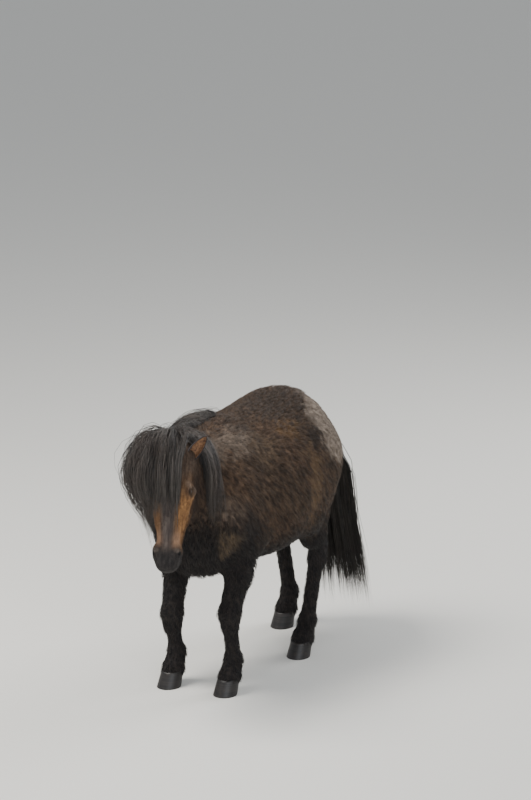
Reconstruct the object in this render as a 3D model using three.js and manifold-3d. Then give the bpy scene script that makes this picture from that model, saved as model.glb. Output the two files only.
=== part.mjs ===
// A shetland pony, life size, standing with its head low and turned to its left.
// Millimetres. The pony faces -Y, its left side is +X, and +Z is up.
import * as THREE from "three";
import { mergeVertices } from "three/addons/utils/BufferGeometryUtils.js";
import Module from "manifold-3d";

const wasm = await Module();
wasm.setup();

// Driving dimensions
const GAP = 0.3; // clearance between two nodes
const ROOM = 0.8; // room under the hair of another node
const HEAD_YAW = 25; // degrees that the head is turned to the pony's left
const HEAD_PITCH = 64; // degrees that the face hangs below level
const POLL = [24, -556, 930]; // top of the skull, between the ears
const SLIVER = 0.05; // detail below this is merged after a cut
const HAIR_EASE = 2.4; // how far the surface of joined locks may move when small faces are merged
const SKIN_EASE = 0.6; // the same for the skin
const SPOT = 0.002; // corners nearer than this count as on one spot
const HOOF_HEIGHT = 58;
const HOOF_RADIUS = 43;
const EYE_RADIUS = 18;
const EYE_SIDES = 12;
const EYE_BULGE = 6; // how far the ball stands out of the skin round it
const EAR_LENGTH = 104;
const FORELOCK = { count: 20, span: [360, 430], width: [36, 50], thickness: [10, 14] };
const MANE = { count: 26, span: [300, 390], width: [44, 60], thickness: [10, 14] };
const TAIL = { count: 22, span: [600, 690], width: [42, 60], thickness: [16, 22] };

// Small vector tools on [x, y, z]
const add = (a, b, s = 1) => [a[0] + b[0] * s, a[1] + b[1] * s, a[2] + b[2] * s];
const sub = (a, b) => add(a, b, -1);
const scale = (a, s) => [a[0] * s, a[1] * s, a[2] * s];
const dot = (a, b) => a[0] * b[0] + a[1] * b[1] + a[2] * b[2];
const cross = (a, b) => [a[1] * b[2] - a[2] * b[1], a[2] * b[0] - a[0] * b[2], a[0] * b[1] - a[1] * b[0]];
const length = (a) => Math.hypot(a[0], a[1], a[2]);
const unit = (a) => scale(a, 1 / (length(a) || 1));
const mix = (a, b, t) => add(scale(a, 1 - t), b, t);
const radians = THREE.MathUtils.degToRad;

// A seeded draw, so that every build grows the same hair
function drawer(seed) {
  let state = seed;
  return (low, high) => {
    state = (state * 1664525 + 1013904223) % 4294967296;
    return low + ((high - low) * state) / 4294967296;
  };
}

// The body is a field: negative inside, and about the distance to the skin in millimetres outside.
// An oval mass of flesh, with its own three axes
function oval(centre, radii, axes = [[1, 0, 0], [0, 1, 0], [0, 0, 1]]) {
  return (p) => {
    const d = sub(p, centre);
    const q = axes.map((axis, i) => dot(d, axis) / radii[i]);
    const k0 = length(q);
    const k1 = length(q.map((value, i) => value / radii[i]));
    return k1 > 1e-9 ? (k0 * (k0 - 1)) / k1 : -Math.min(...radii);
  };
}

// A limb between two joints, with an oval section [across, fore and aft] at each end
function limb(from, to, girthFrom, girthTo, across = [1, 0, 0]) {
  const along = unit(sub(to, from));
  const span = length(sub(to, from));
  const aft = unit(cross(along, across));
  const side = cross(aft, along);
  return (p) => {
    const d = sub(p, from);
    const t = THREE.MathUtils.clamp(dot(d, along) / span, 0, 1);
    const rest = dot(d, along) - t * span;
    const a = girthFrom[0] + (girthTo[0] - girthFrom[0]) * t;
    const b = girthFrom[1] + (girthTo[1] - girthFrom[1]) * t;
    const r = Math.min(a, b);
    return (Math.hypot(dot(d, side) / a, dot(d, aft) / b, rest / r) - 1) * r;
  };
}

// Two masses run together with a fillet of about that width
function blend(a, b, width) {
  const h = Math.max(width - Math.abs(a - b), 0) / width;
  return Math.min(a, b) - (h * h * width) / 4;
}

function group(masses, width) {
  return (p) => masses.reduce((value, mass) => blend(value, mass(p), width), 1e3);
}

// Head frame: down runs from poll to lips, left to the pony's left, front out of the face
const yaw = radians(HEAD_YAW);
const pitch = radians(HEAD_PITCH);
const head = {
  down: [Math.sin(yaw) * Math.cos(pitch), -Math.cos(yaw) * Math.cos(pitch), -Math.sin(pitch)],
  left: [Math.cos(yaw), Math.sin(yaw), 0],
};
head.front = cross(head.left, head.down).map((value) => -value);
const headAxes = [head.down, head.left, head.front];
const onHead = (down, left, front) =>
  add(add(add(POLL, head.down, down), head.left, left), head.front, front);
const headOval = (down, left, front, radii) => oval(onHead(down, left, front), radii, headAxes);
const headLimb = (a, b, ra, rb) => limb(onHead(...a), onHead(...b), ra, rb, head.left);

const headMasses = () => {
  const single = [
    headOval(66, 0, 4, [84, 68, 60]), // cranium
    headOval(128, 0, 16, [80, 66, 50]), // forehead
    headLimb([150, 0, -12], [330, 0, -4], [58, 62], [40, 42]), // face
    headLimb([150, 0, 36], [345, 0, 24], [30, 24], [23, 20]), // nasal bone
    headOval(368, 0, -4, [46, 47, 47]), // muzzle
    headOval(402, 0, 10, [27, 37, 29]), // upper lip
    headOval(396, 0, -33, [24, 28, 22]), // lower lip
    headOval(372, 0, -44, [26, 24, 19]), // chin
  ];
  const paired = [-1, 1].flatMap((s) => [
    headOval(150, s * 56, 24, [38, 25, 32]), // orbit
    headOval(168, s * 40, -62, [84, 31, 60]), // jowl
    headLimb([165, s * 56, 2], [262, s * 34, -8], [17, 16], [13, 12]), // cheek bone
    headLimb([205, s * 32, -74], [360, s * 19, -40], [22, 26], [17, 18]), // jaw bar
    headOval(360, s * 31, 20, [29, 19, 25]), // nostril wing
    headOval(38, s * 46, -8, [34, 26, 30]), // ear base
  ]);
  return [...single, ...paired];
};

// Joints of each leg, and its girths: s is +1 on the left. Places are [x, y, z].
const foreleg = (s, shift) => ({
  point: [s * 128, -372, 655],
  elbow: [s * 138, -268, 556],
  knee: [s * 112, -338 + shift.knee, 282 + shift.kneeUp],
  fetlock: [s * 108, -322 + shift.hoof, 112],
  coronet: [s * 107, -345 + shift.hoof, HOOF_HEIGHT],
});
const hindleg = (s, shift) => ({
  hip: [s * 106, 205, 742],
  stifle: [s * 158, 92 + shift.hock / 4, 560],
  hock: [s * 126, 260 + shift.hock, 388],
  fetlock: [s * 116, 260 + shift.hoof, 118],
  coronet: [s * 114, 232 + shift.hoof, HOOF_HEIGHT],
});
const LEGS = {
  foreleg_left: { s: 1, fore: true, ...foreleg(1, { knee: -8, kneeUp: 10, hoof: 8 }) },
  foreleg_right: { s: -1, fore: true, ...foreleg(-1, { knee: -34, kneeUp: -22, hoof: -26 }) },
  hindleg_left: { s: 1, fore: false, ...hindleg(1, { hock: -40, hoof: -90 }) },
  hindleg_right: { s: -1, fore: false, ...hindleg(-1, { hock: 120, hoof: 165 }) },
};

function foreMasses(leg) {
  const { s, point, elbow, knee, fetlock, coronet } = leg;
  const forearm = mix(elbow, knee, 0.5);
  return [
    limb([s * 92, -250, 850], point, [70, 95], [72, 78]), // shoulder blade
    limb(point, elbow, [66, 70], [62, 78]), // upper arm
    limb(elbow, forearm, [58, 74], [46, 54]), // forearm
    limb(forearm, knee, [46, 52], [38, 37]),
    limb(knee, add(knee, [0, 2, -42]), [39, 40], [30, 31]), // knee
    limb(add(knee, [0, 4, -40]), fetlock, [27, 31], [26, 31]), // cannon
    limb(fetlock, coronet, [33, 38], [36, 38]), // pastern
    limb(coronet, add(coronet, [0, -8, -16]), [37, 39], [37, 40]),
  ];
}

function hindMasses(leg) {
  const { s, hip, stifle, hock, fetlock, coronet } = leg;
  const gaskin = mix(stifle, hock, 0.55);
  const buttock = [s * 84, 296, 690];
  return [
    limb(hip, stifle, [112, 128], [66, 84]), // thigh
    limb(buttock, mix(gaskin, hock, 0.2), [80, 74], [44, 56]), // back of the thigh
    limb(stifle, gaskin, [58, 76], [44, 56]), // gaskin
    limb(gaskin, hock, [42, 52], [31, 38]),
    limb(add(hock, [0, 26, 14]), add(hock, [0, 0, -46]), [22, 22], [31, 34]), // hock and its point
    limb(add(hock, [0, -2, -30]), fetlock, [27, 34], [27, 32]), // cannon
    limb(fetlock, coronet, [33, 38], [36, 38]), // pastern
    limb(coronet, add(coronet, [0, -8, -16]), [37, 39], [37, 40]),
  ];
}

const TORSO = [
  oval([0, -300, 681], [200, 178, 253]), // chest
  oval([0, -30, 684], [258, 325, 276]), // barrel
  oval([0, 165, 743], [214, 206, 239]), // croup
  oval([0, -395, 600], [150, 105, 165]), // breast
  oval([0, -215, 846], [74, 150, 78]), // withers
  oval([0, 256, 690], [146, 104, 150]), // rump
];
const NECK_BONES = [
  limb([0, -270, 768], [4, -400, 788], [124, 178], [100, 142]),
  limb([4, -400, 788], [14, -505, 828], [100, 142], [80, 112]),
  limb([2, -380, 856], [12, -500, 898], [48, 54], [46, 52]), // crest
];
const DOCK = { root: [0, 330, 858], middle: [0, 396, 790], tip: [2, 430, 650] };
const dockLimbs = [
  limb([0, 268, 870], DOCK.root, [44, 40], [36, 34]),
  limb(DOCK.root, DOCK.middle, [35, 34], [29, 28]),
  limb(DOCK.middle, DOCK.tip, [29, 28], [17, 17]),
];

const torsoField = group(TORSO, 90);
const neckField = group(NECK_BONES, 60);
const headField = group(headMasses(), 22);
const dockField = group(dockLimbs, 20);
const legFields = Object.values(LEGS).map((leg) => group(leg.fore ? foreMasses(leg) : hindMasses(leg), 24));

function bodyField(p) {
  let value = blend(torsoField(p), neckField(p), 80);
  for (const leg of legFields) value = blend(value, leg(p), 46);
  value = blend(value, headField(p), 34);
  return value;
}

function slope(field, p, step = 0.5) {
  return unit([0, 1, 2].map((i) => {
    const ahead = [...p];
    const behind = [...p];
    ahead[i] += step;
    behind[i] -= step;
    return field(ahead) - field(behind);
  }));
}

// Follows the field to its surface from p, by a few steps
function settle(field, p, level = 0, most = Infinity, rounds = 3) {
  let q = p;
  for (let i = 0; i < rounds; i++) {
    const miss = field(q) - level;
    if (Math.abs(miss) > most) return p;
    q = add(q, slope(field, q), -miss);
  }
  return q;
}

// Turns a field into a closed solid of quads near one cell wide (surface nets)
function surface(field, low, high, cell, level = 0) {
  const count = low.map((value, i) => Math.ceil((high[i] - value) / cell) + 2);
  const at = (i, j, k) => (i * count[1] + j) * count[2] + k;
  const point = (i, j, k) => [low[0] + (i - 0.5) * cell, low[1] + (j - 0.5) * cell, low[2] + (k - 0.5) * cell];
  const values = new Float64Array(count[0] * count[1] * count[2]).fill(cell);
  for (let i = 1; i < count[0] - 1; i++) {
    for (let j = 1; j < count[1] - 1; j++) {
      for (let k = 1; k < count[2] - 1; k++) values[at(i, j, k)] = field(point(i, j, k)) - level;
    }
  }
  const corners = [0, 1, 2, 3, 4, 5, 6, 7].map((c) => [c & 1, (c >> 1) & 1, c >> 2]);
  const edges = corners.flatMap((a, m) =>
    [1, 2, 4].filter((bit) => !(m & bit)).map((bit) => [m, m | bit]));
  const vertexOf = new Int32Array(values.length).fill(-1);
  const positions = [];
  for (let i = 0; i < count[0] - 1; i++) {
    for (let j = 0; j < count[1] - 1; j++) {
      for (let k = 0; k < count[2] - 1; k++) {
        const f = corners.map(([a, b, c]) => values[at(i + a, j + b, k + c)]);
        if (f.every((v) => v < 0) || f.every((v) => v >= 0)) continue;
        let sum = [0, 0, 0];
        let crossings = 0;
        for (const [a, b] of edges) {
          if (f[a] < 0 === f[b] < 0) continue;
          sum = add(sum, mix(corners[a], corners[b], f[a] / (f[a] - f[b])));
          crossings++;
        }
        const place = add(point(i, j, k), scale(sum, cell / crossings));
        vertexOf[at(i, j, k)] = positions.length;
        positions.push(settle(field, place, level, cell * 0.6));
      }
    }
  }
  const triangles = [];
  const quad = (a, b, c, d, flip) => {
    const v = flip ? [a, d, c, b] : [a, b, c, d];
    const [p, q, r, s] = v.map((index) => positions[index]);
    if (length(sub(p, r)) < length(sub(q, s))) triangles.push(v[0], v[1], v[2], v[0], v[2], v[3]);
    else triangles.push(v[0], v[1], v[3], v[1], v[2], v[3]);
  };
  for (let i = 0; i < count[0] - 1; i++) {
    for (let j = 0; j < count[1] - 1; j++) {
      for (let k = 0; k < count[2] - 1; k++) {
        const inside = values[at(i, j, k)] < 0;
        const cells = (a, b, c, d) => [a, b, c, d].map(([x, y, z]) => vertexOf[at(x, y, z)]);
        if (inside !== values[at(i + 1, j, k)] < 0) {
          quad(...cells([i, j - 1, k - 1], [i, j, k - 1], [i, j, k], [i, j - 1, k]), !inside);
        }
        if (inside !== values[at(i, j + 1, k)] < 0) {
          quad(...cells([i - 1, j, k - 1], [i - 1, j, k], [i, j, k], [i, j, k - 1]), !inside);
        }
        if (inside !== values[at(i, j, k + 1)] < 0) {
          quad(...cells([i - 1, j - 1, k], [i, j - 1, k], [i, j, k], [i - 1, j, k]), !inside);
        }
      }
    }
  }
  const made = new wasm.Manifold(new wasm.Mesh({
    numProp: 3,
    vertProperties: new Float32Array(positions.flat()),
    triVerts: new Uint32Array(triangles),
  }));
  return made.simplify(SKIN_EASE);
}

// Between three.js geometry and solids
function solidOf(geometry) {
  const plain = geometry.clone();
  plain.deleteAttribute("normal");
  plain.deleteAttribute("uv");
  const merged = mergeVertices(plain, 1e-3);
  const solid = new wasm.Manifold(new wasm.Mesh({
    numProp: 3,
    vertProperties: merged.attributes.position.array,
    triVerts: new Uint32Array(merged.index.array),
  }));
  if (solid.volume() <= 0) throw new Error("a piece is inside out");
  return solid;
}

// Corners that fall on the same spot are eased apart, each towards its own neighbours
function easeApart(places, triangles) {
  const near = Array.from({ length: places.length }, () => new Set());
  for (let i = 0; i < triangles.length; i += 3) {
    for (let j = 0; j < 3; j++) near[triangles[i + j]].add(triangles[i + ((j + 1) % 3)]);
  }
  const taken = new Set();
  const keyOf = (p) => p.map((value) => Math.round(value / SPOT)).join();
  return places.map((p, i) => {
    const centre = scale([...near[i]].reduce((sum, j) => add(sum, places[j]), [0, 0, 0]), 1 / near[i].size);
    const way = unit(sub(centre, p));
    let q = p;
    while (taken.has(keyOf(q))) q = add(q, way, 2 * SPOT);
    taken.add(keyOf(q));
    return q;
  });
}

function geometryOf(solid) {
  const mesh = solid.getMesh();
  const flat = Array.from(mesh.vertProperties);
  const places = flat.filter((_, i) => i % 3 === 0).map((_, i) => flat.slice(3 * i, 3 * i + 3));
  const positions = easeApart(places, mesh.triVerts).flat();
  const geometry = new THREE.BufferGeometry();
  geometry.setAttribute("position", new THREE.BufferAttribute(new Float32Array(positions), 3));
  geometry.setIndex(new THREE.BufferAttribute(new Uint32Array(mesh.triVerts), 1));
  geometry.computeVertexNormals();
  return geometry;
}

const largest = (solid) =>
  solid.simplify(SLIVER).decompose().reduce((a, b) => (a.volume() > b.volume() ? a : b));

// A geometry moved into a frame of three axes at a place
function placed(geometry, at, axes) {
  const matrix = new THREE.Matrix4().makeBasis(...axes.map((axis) => new THREE.Vector3(...axis)));
  matrix.setPosition(...at);
  return geometry.applyMatrix4(matrix);
}

// The half of space in front of a plane, as a very large box
function halfSpace(at, normal, size = 3000) {
  const n = unit(normal);
  const side = unit(cross(n, Math.abs(n[0]) < 0.9 ? [1, 0, 0] : [0, 1, 0]));
  const box = new THREE.BoxGeometry(size, size, size);
  return solidOf(placed(box, add(at, n, size / 2), [side, cross(n, side), n]));
}

// The domed column that parts a leg from the torso
function legColumn(leg, extra) {
  const dome = leg.fore ? 560 : 640;
  const reach = leg.fore ? [86, 108] : [98, 165];
  const middle = leg.fore ? [leg.s * 140, leg.elbow[1] - 12] : [leg.s * 146, (leg.stifle[1] + leg.hock[1]) / 2 + 12];
  const profile = [new THREE.Vector2(0, -60), new THREE.Vector2(1.35, -60), new THREE.Vector2(1.35, 250)];
  const shoulder = dome - 120;
  const arcs = 7;
  for (let i = 0; i < arcs; i++) {
    const angle = (i / arcs) * (Math.PI / 2);
    profile.push(new THREE.Vector2(Math.cos(angle), shoulder + 120 * Math.sin(angle)));
  }
  profile.push(new THREE.Vector2(0, dome));
  const column = new THREE.LatheGeometry(profile, 20);
  column.scale(reach[0] + extra, 1, reach[1] + extra);
  column.rotateX(Math.PI / 2);
  column.translate(middle[0], middle[1], extra);
  return solidOf(column);
}

// One lock of hair: a flat blade that tapers along a curve and ends in a point
function lockSolid(path, width, thickness, facing, grow = 0) {
  const curve = new THREE.CatmullRomCurve3(path.map((p) => new THREE.Vector3(...p)));
  const rings = path.length - 1;
  const positions = [];
  const index = [];
  for (let i = 0; i < rings; i++) {
    const t = i / rings;
    const centre = curve.getPoint(t).toArray();
    const along = curve.getTangent(t).toArray();
    const out = typeof facing === "function" ? facing(centre) : facing;
    const flat = unit(cross(along, out));
    const up = cross(flat, along);
    const taper = Math.pow(1 - t, 0.55) * (0.72 + 1.1 * t * (1 - t));
    const half = (width * taper) / 2 + grow;
    const thick = (thickness * (0.45 + 0.55 * taper)) / 2 + grow;
    positions.push(add(centre, flat, half), add(centre, up, thick), add(centre, flat, -half), add(centre, up, -thick));
  }
  const tip = positions.length;
  positions.push(add(path[path.length - 1], unit(sub(path[path.length - 1], path[path.length - 2])), grow));
  for (let i = 0; i < rings - 1; i++) {
    for (let j = 0; j < 4; j++) {
      const a = i * 4 + j;
      const b = i * 4 + ((j + 1) % 4);
      index.push(a, b, b + 4, a, b + 4, a + 4);
    }
  }
  const last = (rings - 1) * 4;
  for (let j = 0; j < 4; j++) index.push(last + j, last + ((j + 1) % 4), tip);
  index.push(0, 2, 1, 0, 3, 2);
  const made = new wasm.Manifold(new wasm.Mesh({
    numProp: 3,
    vertProperties: new Float32Array(positions.flat()),
    triVerts: new Uint32Array(index),
  }));
  if (made.volume() > 0) return made;
  for (let i = 0; i < index.length; i += 3) [index[i + 1], index[i + 2]] = [index[i + 2], index[i + 1]];
  return new wasm.Manifold(new wasm.Mesh({
    numProp: 3,
    vertProperties: new Float32Array(positions.flat()),
    triVerts: new Uint32Array(index),
  }));
}

// What hair lies on: the body, with room left round the ears, the eyes and the dock
const EARS = [-1, 1].map((s) => {
  const root = onHead(30, s * 50, -4);
  const direction = unit(add(add(scale(head.down, -0.82), head.left, s * 0.56), head.front, 0.02));
  return { s, root, direction, tip: add(root, direction, EAR_LENGTH) };
});
const hairGround = (p) => {
  let value = bodyField(p);
  for (const ear of EARS) value = Math.min(value, limb(ear.root, ear.tip, [34, 34], [16, 16])(p));
  return value;
};

// A strand that leaves its root, falls by its weight and lies on what is under it, drawn to it by cling
function strand({ root, leave, span, steps, fall, over, ground = hairGround, pull = [0, 0, 0], cling = 0 }) {
  const substeps = 4;
  const step = span / (steps * substeps);
  let p = root;
  let d = unit(leave);
  const path = [add(root, slope(ground, root), -14), root];
  for (let i = 1; i <= steps * substeps; i++) {
    d = unit(add(add(d, [0, 0, -1], (fall * step) / 50), pull, step / 50));
    if (i > 2 * substeps) d = unit(add(d, slope(ground, p), (-cling * step) / 50));
    p = add(p, d, step);
    const short = Math.min(Math.min(over, 4 + i * 2.2) - ground(p), 0.9 * step);
    if (short > 0) {
      p = add(p, slope(ground, p), short);
      d = unit(sub(p, add(p, d, -step)));
    }
    if (i % substeps === 0) path.push(p);
  }
  return path;
}

const unite = (solids) => wasm.Manifold.union(solids);
const uniteHair = (solids) => unite(solids).simplify(HAIR_EASE);

// Hair of each node, as lists of { path, width, thickness, facing }
const outward = (p) => slope(hairGround, p, 2);

// The top line of the neck, from the poll (0) to the withers (1)
function crest(t, across) {
  const place = mix([20 + across, -546, 1100], [across, -235, 1100], t);
  while (bodyField(place) > 0.5) place[2] -= Math.max(bodyField(place) * 0.7, 0.5);
  return place;
}

// The forelock rises from the poll, arches and falls over the face, most of it to the pony's right
function makeForelock() {
  const draw = drawer(11);
  return Array.from({ length: FORELOCK.count }, (_, i) => {
    const across = 12 - (60 * (i + draw(0, 1))) / FORELOCK.count;
    const toRight = (12 - across) / 60;
    const root = settle(headField, onHead(draw(-6, 36), across, 60));
    const rise = add(scale(head.down, draw(-1.3, -0.6)), head.front, 0.45);
    const leave = add(rise, head.left, draw(-0.45, 0.12) - 0.5 * toRight);
    const span = draw(...FORELOCK.span) + 60 * toRight;
    const path = strand({ root, leave, span, steps: 5, fall: draw(0.7, 0.9), over: draw(8, 30), cling: 0.55 });
    return { path, width: draw(...FORELOCK.width), thickness: draw(...FORELOCK.thickness), facing: outward };
  });
}

// The mane parts: behind the left ear some of it falls to the left, all the rest to the right
function makeMane() {
  const draw = drawer(23);
  return Array.from({ length: MANE.count }, (_, i) => {
    const t = (i + draw(0, 1)) / MANE.count;
    const side = t < 0.4 && i % 4 !== 1 ? 1 : -1;
    const root = crest(t, side > 0 ? draw(0, 14) : draw(-26, -8));
    const leave = [side * draw(0.8, 1), draw(-0.2, 0.3), draw(0, 0.3)];
    const span = draw(...MANE.span) - 130 * Math.max(0, t - 0.45);
    const pull = [0, 0.04, 0];
    const path = strand({ root, leave, span, steps: 5, fall: draw(0.5, 0.8), over: draw(6, 20), pull, cling: 0.4 });
    return { path, width: draw(...MANE.width), thickness: draw(...MANE.thickness), facing: outward };
  });
}

// The tail hangs from all of the dock and spreads a little towards its tips
function makeTailHair() {
  const draw = drawer(37);
  return Array.from({ length: TAIL.count }, (_, i) => {
    const t = 0.1 + (0.9 * (i + draw(0, 1))) / TAIL.count;
    const around = draw(-2, 2);
    const bone = t < 0.45 ? mix(DOCK.root, DOCK.middle, t / 0.45) : mix(DOCK.middle, DOCK.tip, (t - 0.45) / 0.55);
    const away = [Math.sin(around), Math.cos(around), 0.2];
    const root = settle(dockField, add(bone, away, 26));
    const leave = [away[0] * 0.16, away[1] * 0.1 + 0.16 * (1 - t) + 0.03, -0.95];
    const span = draw(...TAIL.span) + 110 * (0.5 - t);
    const pull = [0.01 + 0.026 * Math.sin(around), 0.014 + 0.016 * Math.cos(around), 0];
    const path = strand({ root, leave, span, steps: 6, fall: 0.1, over: draw(6, 16), ground: bodyField, pull });
    return { path, width: draw(...TAIL.width), thickness: draw(...TAIL.thickness), facing: away };
  });
}

const lockSolids = (locks, grow = 0) =>
  locks.map(({ path, width, thickness, facing }) => lockSolid(path, width, thickness, facing, grow));

// Planes that part the head, the neck, the torso and the tail
const throat = { at: onHead(-12, 0, -8), normal: add(head.down, head.front) };
const collar = { at: [0, -300, 990], normal: [0, -0.889, 0.457] };
const behind = (cut, extra = 0) => halfSpace(add(cut.at, unit(cut.normal), -extra), scale(cut.normal, -1));
const ahead = (cut, extra = 0) => halfSpace(add(cut.at, unit(cut.normal), extra), cut.normal);

// The room that holds the head alone: an oval cut off by the throat plane
const headRoomRadii = [300, 130, 132];
const headRoom = (grow = 0) =>
  ball(onHead(200, 0, -8), headRoomRadii.map((r) => r + grow), headAxes, 28).intersect(ahead(throat, -grow));

function around(points, margin) {
  const low = [0, 1, 2].map((i) => Math.min(...points.map((p) => p[i])) - margin);
  const high = [0, 1, 2].map((i) => Math.max(...points.map((p) => p[i])) + margin);
  return [low, high];
}

const HEAD_CELL = 17;
const HEAD_BOX = around([onHead(0, 0, 0), onHead(420, 0, 0), onHead(150, 0, -130),
  onHead(120, 95, 60), onHead(120, -95, 60)], 40);

const TORSO_BOX = [[-330, -560, 330], [330, 520, 1080]];
const TORSO_CELL = 54;
const NECK_BOX = [[-240, -720, 480], [240, -230, 1100]];
const NECK_CELL = 40;
const LEG_CELL = 28;

// The same skin moved out along its own slope
const swollen = (solid, by) => solid.warp((v) => {
  add(v, slope(bodyField, v), by).forEach((value, i) => {
    v[i] = value;
  });
});
const headSkin = surface(bodyField, ...HEAD_BOX, HEAD_CELL);
const headSide = (grow) => swollen(headSkin, grow).intersect(headRoom(grow));
const torsoSkin = surface(bodyField, ...TORSO_BOX, TORSO_CELL);
const torsoSide = (grow) => swollen(torsoSkin, grow).intersect(behind(collar, -grow));

function makeTorso() {
  let solid = torsoSide(0);
  for (const leg of Object.values(LEGS)) solid = solid.subtract(legColumn(leg, GAP));
  return largest(solid);
}

function makeNeck(manes, forelocks) {
  const body = surface(bodyField, ...NECK_BOX, NECK_CELL).intersect(ahead(collar, GAP)).subtract(headRoom(GAP));
  const hair = uniteHair(lockSolids(manes)).subtract(unite(lockSolids(forelocks, GAP + 0.2)));
  return largest(body.add(hair.subtract(headSide(2 * GAP)).subtract(torsoSide(ROOM))).subtract(earRoom));
}

// The eye looks outwards and a little forwards, set in the skin of the orbit
const lookOf = (s) => unit(add(scale(head.left, s), head.front, 0.42));
const eyeCentre = (s) => {
  let reach = 0;
  const start = onHead(150, s * 50, 20);
  while (headField(add(start, lookOf(s), reach)) < 0) reach += 0.5;
  return add(start, lookOf(s), reach + EYE_BULGE - EYE_RADIUS);
};

// A lid is a bent limb over the eyeball, from corner to corner
function makeLid(s, upper) {
  const centre = eyeCentre(s);
  const axisAlong = unit(add(head.down, head.front, 0.12));
  const outwards = lookOf(s);
  const brow = unit(cross(axisAlong, outwards));
  const frontward = dot(brow, head.front) > 0 ? brow : scale(brow, -1);
  const points = [];
  const steps = 6;
  for (let i = 0; i <= steps; i++) {
    const angle = -1.05 + (2.1 * i) / steps;
    const rise = (upper ? 10.5 : -8.5) * Math.cos(angle * 1.4);
    const reach = EYE_RADIUS + 0.5;
    const onBall = add(scale(axisAlong, reach * Math.sin(angle)), frontward, rise);
    const depth = Math.sqrt(Math.max(reach * reach - dot(onBall, onBall), 1));
    points.push(add(add(centre, onBall), outwards, depth));
  }
  return tube(points, upper ? 3.6 : 2.8, 6, 8);
}

function ball(centre, radii, axes, segments = 14) {
  const sphere = new THREE.SphereGeometry(1, segments, Math.round(segments * 0.7));
  sphere.scale(...radii);
  return solidOf(placed(sphere, centre, axes));
}

function makeHead(forelocks) {
  let solid = headSide(0);
  const pieces = [];
  for (const s of [-1, 1]) pieces.push(makeLid(s, true), makeLid(s, false));
  solid = unite([solid, ...pieces]);
  for (const s of [-1, 1]) {
    solid = solid.subtract(ball(eyeCentre(s), [1, 1, 1].map(() => EYE_RADIUS + GAP), headAxes, EYE_SIDES));
    const nostril = onHead(368, s * 41, 32);
    const slant = [unit(add(head.down, head.front, -0.7)), head.left, head.front];
    slant[2] = unit(cross(slant[0], slant[1]));
    slant[1] = cross(slant[2], slant[0]);
    solid = solid.subtract(ball(nostril, [13, 15, 7.5], slant, 10));
  }
  solid = solid.subtract(mouthLine());
  return largest(solid.add(uniteHair(lockSolids(forelocks)).subtract(earRoom).subtract(eyeRoom)));
}

// A tube of a few sides along a curve through points
function tube(points, radius, sides, steps) {
  const section = new THREE.Shape();
  for (let i = 0; i < sides; i++) {
    const angle = (i / sides) * Math.PI * 2;
    const [x, y] = [radius * Math.cos(angle), radius * Math.sin(angle)];
    if (i === 0) section.moveTo(x, y);
    else section.lineTo(x, y);
  }
  const curve = new THREE.CatmullRomCurve3(points.map((p) => new THREE.Vector3(...p)));
  return solidOf(new THREE.ExtrudeGeometry(section, { extrudePath: curve, steps, bevelEnabled: false }));
}

// The line of the mouth: a groove that runs round the muzzle between the lips
function mouthLine() {
  const points = [];
  const steps = 10;
  for (let i = 0; i <= steps; i++) {
    const turn = (2 * i) / steps - 1;
    const angle = radians(118 * turn);
    const out = unit(add(scale(head.down, Math.cos(angle)), head.left, Math.sin(angle)));
    let p = onHead(362, 0, -9 - 17 * turn * turn);
    while (headField(p) < -0.8) p = add(p, out, 0.5);
    points.push(p);
  }
  return tube(points, 3, 5, 20);
}

// The outer shell of an ear and its cup, larger all round by grow
function earParts(ear, grow = 0) {
  const outer = new THREE.SphereGeometry(1, 10, 8);
  const spot = outer.attributes.position;
  for (let i = 0; i < spot.count; i++) {
    const t = (spot.getY(i) + 1) / 2;
    const narrow = t > 0.55 ? 1 - Math.pow((t - 0.55) / 0.45, 1.6) * 0.35 : 1;
    spot.setXYZ(i, spot.getX(i) * narrow, t * 2 - 1, spot.getZ(i) * narrow + 0.25 * t * t);
  }
  const inner = outer.clone();
  const along = ear.direction;
  const facing = unit(add(add(head.front, head.left, ear.s * 0.55), head.down, 0.2));
  const side = unit(cross(along, facing));
  const front = cross(side, along);
  const axes = [side, along, front];
  outer.scale(25 + grow, EAR_LENGTH / 2 + 8 + grow, 19 + grow);
  inner.scale(19, EAR_LENGTH / 2 - 2, 19);
  const middle = add(ear.root, along, EAR_LENGTH / 2 - 8);
  const shell = solidOf(placed(outer, middle, axes));
  const cup = solidOf(placed(inner, add(add(middle, front, 12), along, 6), axes));
  return { shell, cup };
}

function makeEar(ear) {
  const { shell, cup } = earParts(ear);
  return largest(shell.subtract(cup).subtract(headSide(GAP)));
}

function makeLeg(leg) {
  const places = leg.fore ? [leg.elbow, leg.knee, leg.fetlock, leg.coronet] : [leg.stifle, leg.hock, leg.fetlock, leg.coronet];
  const [low, high] = around(places, 110);
  low[2] = HOOF_HEIGHT - 30;
  high[2] = leg.fore ? 600 : 680;
  const solid = surface(bodyField, low, high, LEG_CELL).intersect(legColumn(leg, 0));
  return largest(solid.intersect(halfSpace(hoofTop(leg, GAP), HOOF_SLANT)));
}

const HOOF_SLANT = unit([0, -0.22, 1]);
const hoofTop = (leg, extra) => add(leg.coronet, HOOF_SLANT, extra);

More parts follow.
